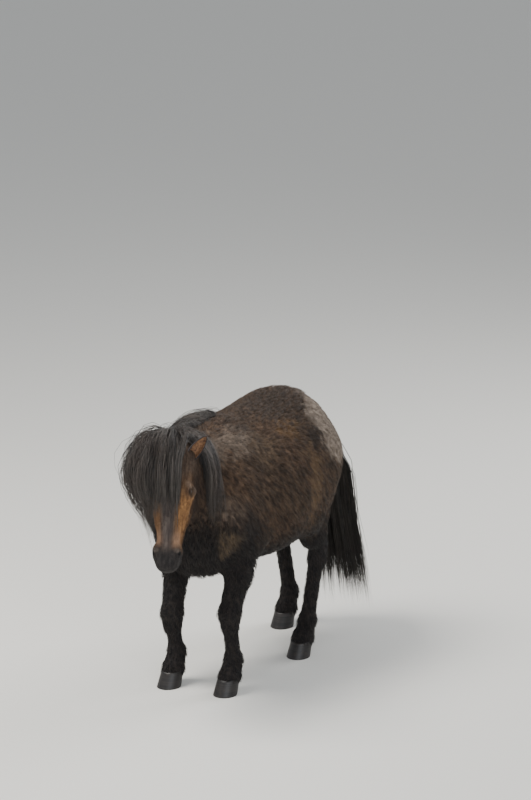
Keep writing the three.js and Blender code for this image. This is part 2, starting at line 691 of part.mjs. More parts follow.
// A hoof: an oval cone that widens to a flat sole and leans forward
function makeHoof(leg) {
  const hoof = new THREE.CylinderGeometry(0.86, 1, HOOF_HEIGHT + 20, 18, 2);
  hoof.rotateX(Math.PI / 2);
  hoof.scale(HOOF_RADIUS - 1, HOOF_RADIUS + 4, 1);
  hoof.translate(0, 0, (HOOF_HEIGHT + 20) / 2);
  const spot = hoof.attributes.position;
  for (let i = 0; i < spot.count; i++) {
    const forward = (HOOF_HEIGHT - spot.getZ(i)) * 0.42;
    spot.setY(i, spot.getY(i) - forward - 6);
  }
  hoof.translate(leg.coronet[0], leg.coronet[1], 0);
  return solidOf(hoof).intersect(halfSpace(leg.coronet, scale(HOOF_SLANT, -1)));
}

function makeTail(locks) {
  const dock = surface(dockField, ...around([DOCK.root, DOCK.tip], 60), 16);
  return largest(uniteHair([dock, ...lockSolids(locks)]).subtract(torsoSide(ROOM)));
}

// Materials, from the coat that each part shows
const COLOURS = {
  coat: [0x35261f, 0.85],
  face: [0x6b4326, 0.82],
  hair: [0x1b1719, 0.6],
  dark: [0x1f191a, 0.8],
  hoof: [0x2b2725, 0.45],
  eye: [0x120c09, 0.08],
};
const materials = Object.fromEntries(Object.entries(COLOURS).map(([name, [color, roughness]]) =>
  [name, new THREE.MeshStandardMaterial({ name, color, roughness, metalness: 0 })]));

function node(name, solid, material) {
  const mesh = new THREE.Mesh(geometryOf(solid), materials[material]);
  mesh.name = name;
  return mesh;
}

const forelocks = makeForelock();
const manes = makeMane();
const tails = makeTailHair();
const pony = new THREE.Group();

const eyeRoom = unite([-1, 1].map((s) => ball(eyeCentre(s), [1, 1, 1].map(() => EYE_RADIUS + 1), headAxes, EYE_SIDES)));
const earRoom = unite(EARS.map((ear) => earParts(ear, 1.5).shell));
pony.add(node("torso", makeTorso(), "coat"));
pony.add(node("neck", makeNeck(manes, forelocks), "coat"));
pony.add(node("head", makeHead(forelocks), "face"));
pony.add(node("tail", makeTail(tails), "hair"));
for (const ear of EARS) {
  const side = ear.s > 0 ? "left" : "right";
  pony.add(node(`ear_${side}`, makeEar(ear), "dark"));
  pony.add(node(`eye_${side}`, ball(eyeCentre(ear.s), [1, 1, 1].map(() => EYE_RADIUS), headAxes, EYE_SIDES), "eye"));
}
for (const [name, leg] of Object.entries(LEGS)) {
  pony.add(node(name, makeLeg(leg), "dark"));
  pony.add(node(`${name.replace("leg", "hoof")}`, makeHoof(leg), "hoof"));
}

// The origin goes to the middle of the footprint, on the ground
const bounds = new THREE.Box3().setFromObject(pony);
const middle = bounds.getCenter(new THREE.Vector3());
for (const piece of pony.children) piece.geometry.translate(-middle.x, -middle.y, -bounds.min.z);

export default pony;
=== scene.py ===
# %% [markdown]
# # A shetland pony in its winter coat
# This lesson dresses a plain CAD pony with a skin, a coat of tufts, a mane, a tail, eyes and hooves.
# Everything is in metres in the end, and the pony faces -Y. The body is worked out in millimetres first.

# %% Load the frame
import bpy
import bmesh
import math
import numpy as np
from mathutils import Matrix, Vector, kdtree


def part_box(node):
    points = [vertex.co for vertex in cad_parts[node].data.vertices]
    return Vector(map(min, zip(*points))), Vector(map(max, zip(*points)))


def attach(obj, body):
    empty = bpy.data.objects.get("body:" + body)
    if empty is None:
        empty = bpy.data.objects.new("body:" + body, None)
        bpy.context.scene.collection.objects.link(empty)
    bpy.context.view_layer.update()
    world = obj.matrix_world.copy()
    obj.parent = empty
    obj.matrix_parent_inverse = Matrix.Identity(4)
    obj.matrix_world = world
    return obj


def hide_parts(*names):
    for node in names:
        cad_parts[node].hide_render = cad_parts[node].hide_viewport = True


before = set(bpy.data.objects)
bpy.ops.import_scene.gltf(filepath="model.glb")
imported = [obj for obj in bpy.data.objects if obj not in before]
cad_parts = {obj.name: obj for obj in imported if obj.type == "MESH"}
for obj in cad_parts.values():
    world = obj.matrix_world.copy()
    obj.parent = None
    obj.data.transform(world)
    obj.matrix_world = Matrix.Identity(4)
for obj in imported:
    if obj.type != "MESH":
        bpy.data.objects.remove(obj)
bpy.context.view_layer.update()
MM = 0.001
FORE_HOOF = (107.0, -337.0)
HOOF_HEIGHT = 58.0
HOOF_RADIUS = 43.0
HOOF_LEAN, HOOF_AHEAD, HOOF_LONGER = 0.42, 6, 4
hoof_low, hoof_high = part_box("forehoof_left")
OFFSET = np.array([
    (hoof_low[0] + hoof_high[0]) / 2 - FORE_HOOF[0] * MM,
    hoof_low[1] - (FORE_HOOF[1] - HOOF_HEIGHT * HOOF_LEAN - HOOF_AHEAD - HOOF_RADIUS - HOOF_LONGER) * MM,
    0.0,
])

# %% [markdown]
# ## The camera
# A long lens from 13 m keeps the picture nearly flat, as in the photograph. The direction is that at the
# middle of the picture, and the aim is set so that a named point on the ground falls on a named pixel.

# %% Place the camera
AZIMUTH = 32.05
ELEVATION = 15.41
DISTANCE = 13.0
PIXELS_PER_METRE = 283.0
GROUND_POINT = np.array([0.0, -0.3303, 0.0]) + OFFSET
GROUND_PIXEL = (205.4, 685.55)
PICTURE = (531.0, 800.0)
SENSOR = 36.0

turn, rise = math.radians(AZIMUTH), math.radians(ELEVATION)
RIGHT = np.array([math.cos(turn), math.sin(turn), 0.0])
BACK = np.array([math.sin(turn) * math.cos(rise), -math.cos(turn) * math.cos(rise), math.sin(rise)])
UP = np.cross(BACK, RIGHT)
camera = bpy.data.objects.new("camera", bpy.data.cameras.new("camera"))
bpy.context.scene.collection.objects.link(camera)
camera.data.sensor_width = SENSOR
camera.data.lens = PIXELS_PER_METRE * DISTANCE * SENSOR / PICTURE[1]
camera.data.clip_end = 60
aim = GROUND_POINT + RIGHT * (PICTURE[0] / 2 - GROUND_PIXEL[0]) / PIXELS_PER_METRE
aim = aim + UP * (GROUND_PIXEL[1] - PICTURE[1] / 2) / PIXELS_PER_METRE
camera.location = aim + BACK * DISTANCE
camera.rotation_mode = "QUATERNION"
camera.rotation_quaternion = Vector(-BACK).to_track_quat("-Z", "Y")
bpy.context.scene.camera = camera
print("lens", round(camera.data.lens, 1), "mm")

# %% [markdown]
# ## The body as a field
# A field gives each point of space a number: negative inside the body, and about the distance to the skin
# outside. Ovals and limbs are joined with a soft minimum, so that muscles run into each other.

# %% Field tools
def unit(a):
    return a / np.maximum(np.linalg.norm(a, axis=-1, keepdims=True), 1e-9)


def oval(centre, radii, axes=np.eye(3)):
    centre, radii, axes = np.array(centre, float), np.array(radii, float), np.array(axes, float)

    def field(p):
        q = (p - centre) @ axes.T / radii
        k0 = np.sqrt((q * q).sum(1))
        k1 = np.sqrt(((q / radii) ** 2).sum(1))
        return k0 * (k0 - 1) / np.maximum(k1, 1e-9)

    return field


def limb(start, end, girth_start, girth_end, across=(1, 0, 0)):
    start, end = np.array(start, float), np.array(end, float)
    span = np.linalg.norm(end - start)
    along = (end - start) / span
    aft = unit(np.cross(along, across))
    side = np.cross(aft, along)
    (a0, b0), (a1, b1) = girth_start, girth_end

    def field(p):
        d = p - start
        reach = d @ along
        t = np.clip(reach / span, 0, 1)
        rest = reach - t * span
        a = a0 + (a1 - a0) * t
        b = b0 + (b1 - b0) * t
        r = np.minimum(a, b)
        return (np.sqrt((d @ side / a) ** 2 + (d @ aft / b) ** 2 + (rest / r) ** 2) - 1) * r

    return field


def blend(a, b, width):
    h = np.maximum(width - np.abs(a - b), 0) / width
    return np.minimum(a, b) - h * h * width / 4


def carve(a, b, width):
    return -blend(-a, b, width)


def group(masses, width):
    def field(p):
        value = np.full(len(p), 1e3)
        for mass in masses:
            value = blend(value, mass(p), width)
        return value

    return field


def slope(field, p, step=0.5):
    out = np.empty_like(p)
    for axis in range(3):
        move = np.zeros(3)
        move[axis] = step
        out[:, axis] = field(p + move) - field(p - move)
    return unit(out)


def in_parts(work, p, size=120000):
    return np.concatenate([work(p[i:i + size]) for i in range(0, len(p), size)])


def mix(a, b, t):
    return np.array(a, float) * (1 - t) + np.array(b, float) * t


print("field tools ready")

# %% [markdown]
# ## The head
# The head has a frame of its own: down runs from the poll to the lips, left to the pony's left, and front
# out of the face. Skull, jaw, cheeks, brows and muzzle are ovals and limbs set in that frame.

# %% Shape the head
HEAD_YAW, HEAD_PITCH = math.radians(25), math.radians(64)
POLL = np.array([24.0, -556.0, 930.0])
EYE_RADIUS, EYE_BULGE, EAR_LENGTH = 18.0, 6.0, 104.0
DOWN = np.array([
    math.sin(HEAD_YAW) * math.cos(HEAD_PITCH),
    -math.cos(HEAD_YAW) * math.cos(HEAD_PITCH),
    -math.sin(HEAD_PITCH),
])
LEFT = np.array([math.cos(HEAD_YAW), math.sin(HEAD_YAW), 0.0])
FRONT = -np.cross(LEFT, DOWN)
HEAD_AXES = np.array([DOWN, LEFT, FRONT])


def on_head(down, left, front):
    return POLL + DOWN * down + LEFT * left + FRONT * front


def in_head(p):
    return (p - POLL) @ HEAD_AXES.T


def head_oval(down, left, front, radii):
    return oval(on_head(down, left, front), radii, HEAD_AXES)


def head_limb(a, b, girth_a, girth_b):
    return limb(on_head(*a), on_head(*b), girth_a, girth_b, LEFT)


head_masses = [
    head_oval(66, 0, 4, [84, 68, 60]),
    head_oval(128, 0, 16, [80, 66, 50]),
    head_limb([150, 0, -12], [330, 0, -4], [58, 62], [40, 42]),
    head_limb([150, 0, 36], [345, 0, 24], [30, 24], [23, 20]),
    head_oval(368, 0, -4, [46, 47, 47]),
    head_oval(402, 0, 10, [27, 37, 29]),
    head_oval(396, 0, -33, [24, 28, 22]),
    head_oval(372, 0, -44, [26, 24, 19]),
]
for s in (-1, 1):
    head_masses += [
        head_oval(150, s * 56, 24, [38, 25, 32]),
        head_oval(168, s * 40, -62, [84, 31, 60]),
        head_limb([165, s * 56, 2], [262, s * 34, -8], [17, 16], [13, 12]),
        head_limb([205, s * 32, -74], [360, s * 19, -40], [22, 26], [17, 18]),
        head_oval(360, s * 31, 20, [29, 19, 25]),
        head_oval(38, s * 46, -8, [34, 26, 30]),
    ]
head_field = group(head_masses, 22)
print(len(head_masses), "masses in the head")

# %% [markdown]
# ## Legs
# Each leg is a chain of joints from shoulder or hip to hoof. The same places and girths are used as in the
# CAD solids, and only the swing of each leg differs.

# %% Shape the legs
def foreleg(s, knee_aft, knee_up, hoof_aft):
    point, elbow = [s * 128, -372, 655], [s * 138, -268, 556]
    knee = np.array([s * 112, -338 + knee_aft, 282 + knee_up], float)
    fetlock = np.array([s * 108, -322 + hoof_aft, 112], float)
    coronet = np.array([s * 107, -345 + hoof_aft, HOOF_HEIGHT], float)
    forearm = mix(elbow, knee, 0.5)
    masses = [
        limb([s * 92, -250, 850], point, [70, 95], [72, 78]),
        limb(point, elbow, [66, 70], [62, 78]),
        limb(elbow, forearm, [58, 74], [46, 54]),
        limb(forearm, knee, [46, 52], [38, 37]),
        limb(knee, knee + [0, 2, -42], [39, 40], [30, 31]),
        limb(knee + [0, 4, -40], fetlock, [27, 31], [26, 31]),
        limb(fetlock, coronet, [33, 38], [36, 38]),
        limb(coronet, coronet + [0, -8, -16], [37, 39], [37, 40]),
    ]
    return {"s": s, "fore": True, "top": np.array(elbow, float), "mid": knee,
            "fetlock": fetlock, "coronet": coronet, "field": group(masses, 24)}


def hindleg(s, hock_aft, hoof_aft):
    hip, stifle = [s * 106, 205, 742], [s * 158, 92 + hock_aft / 4, 560]
    hock = np.array([s * 126, 260 + hock_aft, 388], float)
    fetlock = np.array([s * 116, 260 + hoof_aft, 118], float)
    coronet = np.array([s * 114, 232 + hoof_aft, HOOF_HEIGHT], float)
    gaskin = mix(stifle, hock, 0.55)
    masses = [
        limb(hip, stifle, [112, 128], [66, 84]),
        limb([s * 84, 296, 690], mix(gaskin, hock, 0.2), [80, 74], [44, 56]),
        limb(stifle, gaskin, [58, 76], [44, 56]),
        limb(gaskin, hock, [42, 52], [31, 38]),
        limb(hock + [0, 26, 14], hock + [0, 0, -46], [22, 22], [31, 34]),
        limb(hock + [0, -2, -30], fetlock, [27, 34], [27, 32]),
        limb(fetlock, coronet, [33, 38], [36, 38]),
        limb(coronet, coronet + [0, -8, -16], [37, 39], [37, 40]),
    ]
    return {"s": s, "fore": False, "top": np.array(stifle, float), "mid": hock,
            "fetlock": fetlock, "coronet": coronet, "field": group(masses, 24)}


LEGS = {
    "foreleg_left": foreleg(1, -8, 10, 8),
    "foreleg_right": foreleg(-1, -34, -22, -26),
    "hindleg_left": hindleg(1, -40, -90),
    "hindleg_right": hindleg(-1, 120, 165),
}
print(len(LEGS), "legs")

# %% [markdown]
# ## Torso, neck and dock
# The round belly, the chest, the withers and the croup are ovals, blended widely. The neck is two limbs
# under a crest. All of it is one field, and shares say how much a place belongs to the head or the legs.

# %% Shape the torso, the neck and the dock
torso_field = group([
    oval([0, -300, 681], [200, 178, 253]),
    oval([0, -30, 684], [258, 325, 276]),
    oval([0, 165, 743], [214, 206, 239]),
    oval([0, -395, 600], [150, 105, 165]),
    oval([0, -215, 846], [74, 150, 78]),
    oval([0, 256, 690], [146, 104, 150]),
], 90)
neck_field = group([
    limb([0, -270, 768], [4, -400, 788], [124, 178], [100, 142]),
    limb([4, -400, 788], [14, -505, 828], [100, 142], [80, 112]),
    limb([2, -380, 856], [12, -500, 898], [48, 54], [46, 52]),
], 60)
DOCK = [np.array(p, float) for p in ([0, 330, 858], [0, 396, 790], [2, 430, 650])]
dock_field = group([
    limb([0, 268, 870], DOCK[0], [44, 40], [36, 34]),
    limb(DOCK[0], DOCK[1], [35, 34], [29, 28]),
    limb(DOCK[1], DOCK[2], [29, 28], [17, 17]),
], 20)


def body_field(p):
    value = blend(torso_field(p), neck_field(p), 80)
    for leg in LEGS.values():
        value = blend(value, leg["field"](p), 46)
    return blend(value, head_field(p), 34)


def full_field(p):
    return blend(body_field(p), dock_field(p), 30)


def smooth(low, high, value):
    t = np.clip((value - low) / (high - low), 0, 1)
    return t * t * (3 - 2 * t)


def head_share(p):
    local = in_head(p)
    return smooth(-40, 70, local[:, 0] + 0.9 * local[:, 2] + 50) * (head_field(p) < 40)


def leg_share(p):
    return 1 - smooth(330, 520, p[:, 2])


def coat_depth(p):
    depth = 10 - 6.5 * leg_share(p)
    return depth + (1.5 - depth) * head_share(p)


print("field at the barrel's middle", full_field(np.array([[0.0, 0, 700]])).round(1))

# %% [markdown]
# ## From field to mesh
# The polygoniser puts one corner in each grid cell that the skin passes through, and one square face
# round each grid edge that it crosses. It looks closely only near the skin, which saves time.

# %% Polygonise the skin
CELL = 5.5
SKIN_LOW, SKIN_HIGH = np.array([-300.0, -790, 30]), np.array([300.0, 560, 1060])
BLOCK = 5


def skin_level(p):
    return full_field(p) + coat_depth(p)


def surface_nets(field, low, high, cell, block):
    count = (np.ceil((high - low) / (cell * block)).astype(int)) * block
    blocks = count // block
    index = np.stack(np.meshgrid(*[np.arange(n) for n in blocks], indexing="ij"), -1).reshape(-1, 3)
    centres = low + (index + 0.5) * cell * block
    rough = in_parts(field, centres)
    near = np.abs(rough) < cell * block * 1.35
    values = np.repeat(np.repeat(np.repeat(rough.reshape(blocks), block, 0), block, 1), block, 2)
    local = np.stack(np.meshgrid(*[np.arange(block)] * 3, indexing="ij"), -1).reshape(-1, 3)
    fine = (index[near][:, None, :] * block + local[None]).reshape(-1, 3)
    values[tuple(fine.T)] = in_parts(field, low + fine * cell)
    inside = values < 0
    corners = np.array([[c & 1, (c >> 1) & 1, c >> 2] for c in range(8)])
    trimmed = tuple(n - 1 for n in values.shape)
    total = np.zeros(trimmed, np.int8)
    for c in corners:
        total += inside[c[0]:c[0] + trimmed[0], c[1]:c[1] + trimmed[1], c[2]:c[2] + trimmed[2]]
    cells = np.argwhere((total > 0) & (total < 8))
    number = np.full(values.shape, -1, np.int64)
    number[tuple(cells.T)] = np.arange(len(cells))
    f = np.stack([values[tuple((cells + c).T)] for c in corners], 1)
    sums, hits = np.zeros((len(cells), 3)), np.zeros(len(cells))
    for a in range(8):
        for bit in (1, 2, 4):
            if a & bit:
                continue
            b = a | bit
            cross = (f[:, a] < 0) != (f[:, b] < 0)
            t = np.where(cross, f[:, a] / np.where(cross, f[:, a] - f[:, b], 1), 0)
            place = corners[a] + t[:, None] * (corners[b] - corners[a])
            sums += np.where(cross[:, None], place, 0)
            hits += cross
    points = low + (cells + sums / hits[:, None]) * cell
    quads = []
    for axis in range(3):
        one, two = (axis + 1) % 3, (axis + 2) % 3
        step = np.eye(3, dtype=int)
        ahead = np.roll(inside, -1, axis)
        edges = np.argwhere(inside != ahead)
        edges = edges[(edges > 0).all(1) & (edges < np.array(values.shape) - 1).all(1)]
        ring = [edges - step[one] - step[two], edges - step[two], edges, edges - step[one]]
        faces = np.stack([number[tuple(r.T)] for r in ring], 1)
        flip = ~inside[tuple(edges.T)]
        faces[flip] = faces[flip][:, ::-1]
        quads.append(faces[(faces >= 0).all(1)])
    return points, np.concatenate(quads)


def settle(field, p, rounds=3, most=6.0):
    for _ in range(rounds):
        value = in_parts(field, p)
        normal = in_parts(lambda q: slope(field, q), p)
        p = p - normal * np.clip(value, -most, most)[:, None]
    return p


skin_points, skin_faces = surface_nets(skin_level, SKIN_LOW, SKIN_HIGH, CELL, BLOCK)
skin_points = settle(skin_level, skin_points, 2)
print(len(skin_points), "points and", len(skin_faces), "faces in the skin")

# %% [markdown]
# ## Details of the face
# Lids, brow folds, nostrils, mouth and lip are chains of balls and ovals, which are blended on the head or
# carved out of it. An eye is placed by walking out of the head in the direction in which it looks.

# %% Details of the face
def march_out(field, start, way):
    reach = 0.0
    while field((start + way * reach)[None])[0] < 0:
        reach += 0.5
    return reach


def chain(points, radii):
    points = np.array(points, float)

    def field(p):
        best = np.full(len(p), 1e3)
        for a, b, ra, rb in zip(points[:-1], points[1:], radii[:-1], radii[1:]):
            ab = b - a
            t = np.clip((p - a) @ ab / (ab @ ab), 0, 1)
            best = np.minimum(best, np.linalg.norm(p - a - t[:, None] * ab, axis=1) - (ra + (rb - ra) * t))
        return best

    return field


EYES = []
for s in (-1, 1):
    look = unit(LEFT * s + FRONT * 0.42)
    start = on_head(150, s * 50, 20)
    centre = start + look * (march_out(head_field, start, look) + EYE_BULGE - EYE_RADIUS)
    along = unit(DOWN + FRONT * 0.12)
    along = unit(along - look * (along @ look))
    brow = unit(np.cross(along, look))
    brow = brow if brow @ FRONT > 0 else -brow
    EYES.append({"s": s, "look": look, "centre": centre, "along": along, "brow": brow})


LID_RADIUS, LID_HALF_ANGLE = EYE_RADIUS + 0.8, 1.12
UPPER_LID, LOWER_LID = (9.5, 3.4), (-8.0, 2.6)


def lid(eye, opening, thick):
    points, radii = [], []
    for i in range(9):
        angle = LID_HALF_ANGLE * (i / 4 - 1)
        up_ball = eye["brow"] * opening * math.cos(angle * 1.36)
        on_ball = eye["along"] * LID_RADIUS * math.sin(angle) + up_ball
        depth = math.sqrt(max(LID_RADIUS ** 2 - on_ball @ on_ball, 1))
        points.append(eye["centre"] + on_ball + eye["look"] * depth)
        radii.append(thick * (0.7 + 0.3 * math.cos(angle)))
    return chain(points, radii)


def brow_fold(eye):
    points = []
    for i in range(7):
        angle = -0.95 + 1.8 * i / 6
        on_ball = eye["along"] * 24 * math.sin(angle) + eye["brow"] * (17 * math.cos(angle * 1.1) + 2)
        points.append(eye["centre"] + on_ball + eye["look"] * 11)
    return chain(points, [3.0] * 7)


lids = [lid(eye, *shape) for eye in EYES for shape in (UPPER_LID, LOWER_LID)]
folds = [brow_fold(eye) for eye in EYES]
balls = [oval(eye["centre"], [EYE_RADIUS + 0.2] * 3) for eye in EYES]
NOSTRILS = []
for s in (-1, 1):
    long_way = unit(DOWN - FRONT * 0.7)
    front_way = unit(np.cross(long_way, LEFT))
    left_way = np.cross(front_way, long_way)
    NOSTRILS.append(oval(on_head(368, s * 41, 32), [14, 15, 8], [long_way, left_way, front_way]))
MOUTH_HALF_TURN = 118
mouth_points = []
for i in range(17):
    bend = 2 * i / 16 - 1
    turned = math.radians(MOUTH_HALF_TURN * bend)
    way = unit(DOWN * math.cos(turned) + LEFT * math.sin(turned))
    start = on_head(362, 0, -9 - 17 * bend * bend)
    mouth_points.append(start + way * (march_out(head_field, start, way) - 0.5))
mouth = chain(mouth_points, [2.6] * 17)
lip_roll = chain([p + FRONT * 6.5 for p in mouth_points[4:13]], [4.2] * 9)


def detailed_field(p):
    value = body_field(p)
    for fold in folds:
        value = carve(value, fold(p), 6)
    for one in lids:
        value = blend(value, one(p), 7)
    for ball in balls:
        value = np.maximum(value, -ball(p))
    value = blend(value, lip_roll(p), 8)
    for hole in NOSTRILS:
        value = carve(value, hole(p), 7)
    value = carve(value, mouth(p), 3)
    return blend(value, dock_field(p), 30)


def detailed_level(p):
    return detailed_field(p) + coat_depth(p)


print(len(lids), "lids,", len(NOSTRILS), "nostrils and a mouth")

# %% [markdown]
# ## The skin
# The head's faces are split in four, and those round the eyes and the muzzle once more. Then every corner
# there settles on the finer field. One skin stands for torso, neck, head, tail and legs, without a seam.

# %% Build the skin object
def mesh_from(name, points, faces):
    mesh = bpy.data.meshes.new(name)
    faces = np.asarray(faces, np.int32)
    mesh.vertices.add(len(points))
    mesh.vertices.foreach_set("co", (np.asarray(points) * MM + OFFSET).astype(np.float32).ravel())
    mesh.loops.add(faces.size)
    mesh.loops.foreach_set("vertex_index", faces.ravel())
    mesh.polygons.add(len(faces))
    mesh.polygons.foreach_set("loop_start", np.arange(0, faces.size, faces.shape[1], dtype=np.int32))
    mesh.polygons.foreach_set("use_smooth", np.ones(len(faces), bool))
    mesh.update(calc_edges=True)
    piece = bpy.data.objects.new(name, mesh)
    bpy.context.scene.collection.objects.link(piece)
    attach(piece, "root")
    return piece


def points_of(mesh):
    flat = np.empty(len(mesh.vertices) * 3)
    mesh.vertices.foreach_get("co", flat)
    return (flat.reshape(-1, 3) - OFFSET) / MM


def split_where(mesh, wanted):
    work = bmesh.new()
    work.from_mesh(mesh)
    flags = wanted(points_of(mesh))
    edges = [e for e in work.edges if flags[e.verts[0].index] and flags[e.verts[1].index]]
    bmesh.ops.subdivide_edges(work, edges=edges, cuts=1, use_grid_fill=True)
    bmesh.ops.triangulate(work, faces=[f for f in work.faces if len(f.verts) > 4])
    work.to_mesh(mesh)
    work.free()
    mesh.update()


def near_head(p):
    local = in_head(p)
    return (head_field(p) < 12) & (local[:, 0] > 20) & (local[:, 2] > -110)


def near_features(p):
    close = np.full(len(p), False)
    for eye in EYES:
        close |= np.linalg.norm(p - eye["centre"], axis=1) < 38
    local = in_head(p)
    return close | (near_head(p) & (local[:, 0] > 335))


skin = mesh_from("skin", skin_points, skin_faces)
skin.data.validate()
split_where(skin.data, near_head)
split_where(skin.data, near_features)
spots = points_of(skin.data)
chosen = near_head(spots)
spots[chosen] = settle(detailed_level, spots[chosen], 4, 4.0)
skin.data.vertices.foreach_set("co", (spots * MM + OFFSET).astype(np.float32).ravel())
skin.data.polygons.foreach_set("use_smooth", np.ones(len(skin.data.polygons), bool))
skin.data.update()
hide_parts("torso", "neck", "head", "tail", *LEGS)
print(len(skin.data.polygons), "faces in the skin")

# %% [markdown]
# ## Materials
# Colours are picked as hex values and turned linear by one function. One small function adds a node with
# its settings and links, and gives back the output that the next node needs. A finish is a chain of these.

# %% Material tools
SMOOTH = {"interpolation_type": "SMOOTHSTEP"}
COLOR_MIX = {"data_type": "RGBA"}
TIMES = {"operation": "MULTIPLY"}


def linear(code):
    def channel(shift):
        c = ((code >> shift) & 255) / 255
        return c / 12.92 if c <= 0.04045 else ((c + 0.055) / 1.055) ** 2.4

    return (channel(16), channel(8), channel(0), 1.0)


class Finish:
    def __init__(self, name):
        self.material = bpy.data.materials.new(name)
        self.material.use_nodes = True
        self.tree = self.material.node_tree
        self.tree.nodes.clear()
        self.place = self.add("ShaderNodeTexCoord", out="Object")

    def add(self, kind, settings=None, out=0, **inputs):
        node = self.tree.nodes.new(kind)
        for key, value in (settings or {}).items():
            setattr(node, key, value)
        for key, value in inputs.items():
            socket = node.inputs[int(key[1:])] if key[0] == "i" and key[1:].isdigit() else node.inputs[key]
            if isinstance(value, bpy.types.NodeSocket):
                self.tree.links.new(value, socket)
            else:
                socket.default_value = value
        return node.outputs[out]

    def noise(self, scale, detail, place=None, rough=0.55, out="Fac"):
        return self.add("ShaderNodeTexNoise", None, out, Vector=place or self.place, Scale=scale,
                        Detail=detail, Roughness=rough)

    def ramp(self, value, low, high, to_low=0.0, to_high=1.0):
        return self.add("ShaderNodeMapRange", SMOOTH, i0=value, i1=low, i2=high, i3=to_low, i4=to_high)

    def two_tones(self, pattern, low, high, dark, light):
        share = self.ramp(pattern, low, high)
        return self.add("ShaderNodeMix", COLOR_MIX, 2, i0=share, i6=linear(dark), i7=linear(light))

    def laid_over(self, under, over, mask, amount=1.0):
        share = self.add("ShaderNodeMath", TIMES, i0=mask, i1=amount)
        return self.add("ShaderNodeMix", COLOR_MIX, 2, i0=share, i6=under, i7=over)

    def measured(self, place, centre, radii, axes):
        away = self.add("ShaderNodeVectorMath", {"operation": "SUBTRACT"}, i0=place, i1=tuple(centre))
        parts = {}
        for i, (axis, radius) in enumerate(zip(axes, radii)):
            parts["i" + str(i)] = self.add("ShaderNodeVectorMath", {"operation": "DOT_PRODUCT"}, "Value",
                                           i0=away, i1=tuple(np.array(axis) / radius))
        return self.add("ShaderNodeCombineXYZ", **parts)

    def spot(self, place, centre, radii, axes, soft):
        joined = self.measured(place, centre, radii, axes)
        size = self.add("ShaderNodeVectorMath", {"operation": "LENGTH"}, "Value", i0=joined)
        return self.ramp(size, 1 - soft, 1 + soft, 1.0, 0.0)

    def done(self, color, roughness, bump=None, height=0.001, strength=0.5, **more):
        inputs = {"Base Color": color, "Roughness": roughness, **more}
        if bump is not None:
            inputs["Normal"] = self.add("ShaderNodeBump", Height=bump, Distance=height, Strength=strength)
        shader = self.add("ShaderNodeBsdfPrincipled", **inputs)
        end = self.tree.nodes.new("ShaderNodeOutputMaterial")
        self.tree.links.new(shader, end.inputs[0])
        return self.material


print("material tools ready")

# %% [markdown]
# ## The markings
# A marking is an egg-shaped place: a dark and a light colour for its streaks, centre and radii in mm, how
# much it covers, and how soft its edge is. The body has pale patches where the winter coat is shed, and the
# face a grey blaze between tan cheeks, a black muzzle and pale brows.

# %% List the markings
SHED = ((150, 245, 848), (150, 148, 138))
MARKS = [
    ((0x6A5E53, 0x918376), *SHED, 1.0, 0.14),
    ((0x6A5E53, 0x8E8073), (-160, 250, 850), (120, 130, 96), 0.9, 0.3),
    ((0x2A211C, 0x46392F), (214, 66, 848), (52, 44, 32), 1.0, 0.25),
    ((0x60482F, 0x7E6142), (176, -26, 902), (58, 52, 32), 0.65, 0.45),
    ((0x5E4A37, 0x84694C), (254, 22, 705), (62, 44, 165), 0.7, 0.4),
    ((0x665A50, 0x86786B), (112, -322, 912), (70, 84, 48), 0.7, 0.5),
    ((0x5C4F45, 0x786A5D), (168, -420, 712), (46, 56, 50), 0.5, 0.6),
    ((0x524437, 0x76634B), (170, -414, 580), (36, 46, 50), 0.55, 0.55),
    ((0x57493C, 0x79644F), (150, -200, 868), (90, 70, 56), 0.5, 0.5),
    ((0x2A211B, 0x4A3B30), (60, 60, 975), (150, 110, 50), 0.55, 0.5),
]
FACE_MARKS = [
    ((0x3A2E26, 0x5A493C), (90, 0, 20), (140, 120, 120), 1.0, 0.3),
    ((0x6C4A2E, 0x9A7249), (215, 47, 0), (124, 38, 64), 1.0, 0.35),
    ((0x684A32, 0x8F6C4B), (225, -46, 0), (110, 34, 62), 0.9, 0.35),
    ((0x8A6A52, 0xAC8A70), (318, 28, 24), (34, 17, 26), 0.7, 0.6),
    ((0x7C5E48, 0x9C7A60), (314, -24, 24), (30, 16, 26), 0.6, 0.6),
    ((0x3A3230, 0x5A504A), (196, 0, 50), (160, 25, 44), 1.0, 0.45),
    ((0x1A1717, 0x312D2C), (398, 0, -4), (50, 70, 72), 1.0, 0.32),
    ((0x7A6453, 0xA08772), (134, 60, 44), (17, 14, 9), 0.8, 0.5),
    ((0x0C0A09, 0x1C1614), (152, 66, 30), (20, 18, 20), 1.0, 0.25),
    # Painted highlights on the upper rims of both nostrils.
    *[((0x4A423D, 0x645A52), (356, side * 40, 42), (8, 14, 10), 0.5, 0.5) for side in (1, -1)],
    # Painted shade inside both nostrils: near black in the carved hollows.
    *[((0x050404, 0x0A0808), (368, side * 41, 32), (11, 13, 8), 1.0, 0.15) for side in (1, -1)],
    ((0x1E1815, 0x3A2D25), (165, 62, -60), (80, 50, 55), 0.7, 0.5),
]
print(len(MARKS) + len(FACE_MARKS), "markings")

# %% [markdown]
# ## The coat's colours
# The same colours go on the skin and on the tufts, worked out from the place on the body, so both agree.
# The streaks are about 12 mm wide and 60 mm long (85 and 17 to the metre) and lie back and down, as the
# hair does. A noise of 30 to 80 mm shifts the place, which gives the markings the ragged edges of a coat
# that is being shed. Legs, belly and chest are nearly black.

# %% Paint the coat
LIE_TILT = -0.67
STREAKS, CLUMPS, FACE_HAIRS = (85.0, 85.0, 17.0), (30.0, 30.0, 12.0), np.array([0.06, 0.0085, 0.0085])
RAGGED = 0.17
DARK_BELOW, BROWN_ABOVE, CHEST_DARKER = 0.42, 0.62, 0.16
CHEST_AFT, CHEST_FORE = -0.20 + OFFSET[1], -0.36 + OFFSET[1]


def at(point):
    return np.array(point, float) * MM + OFFSET


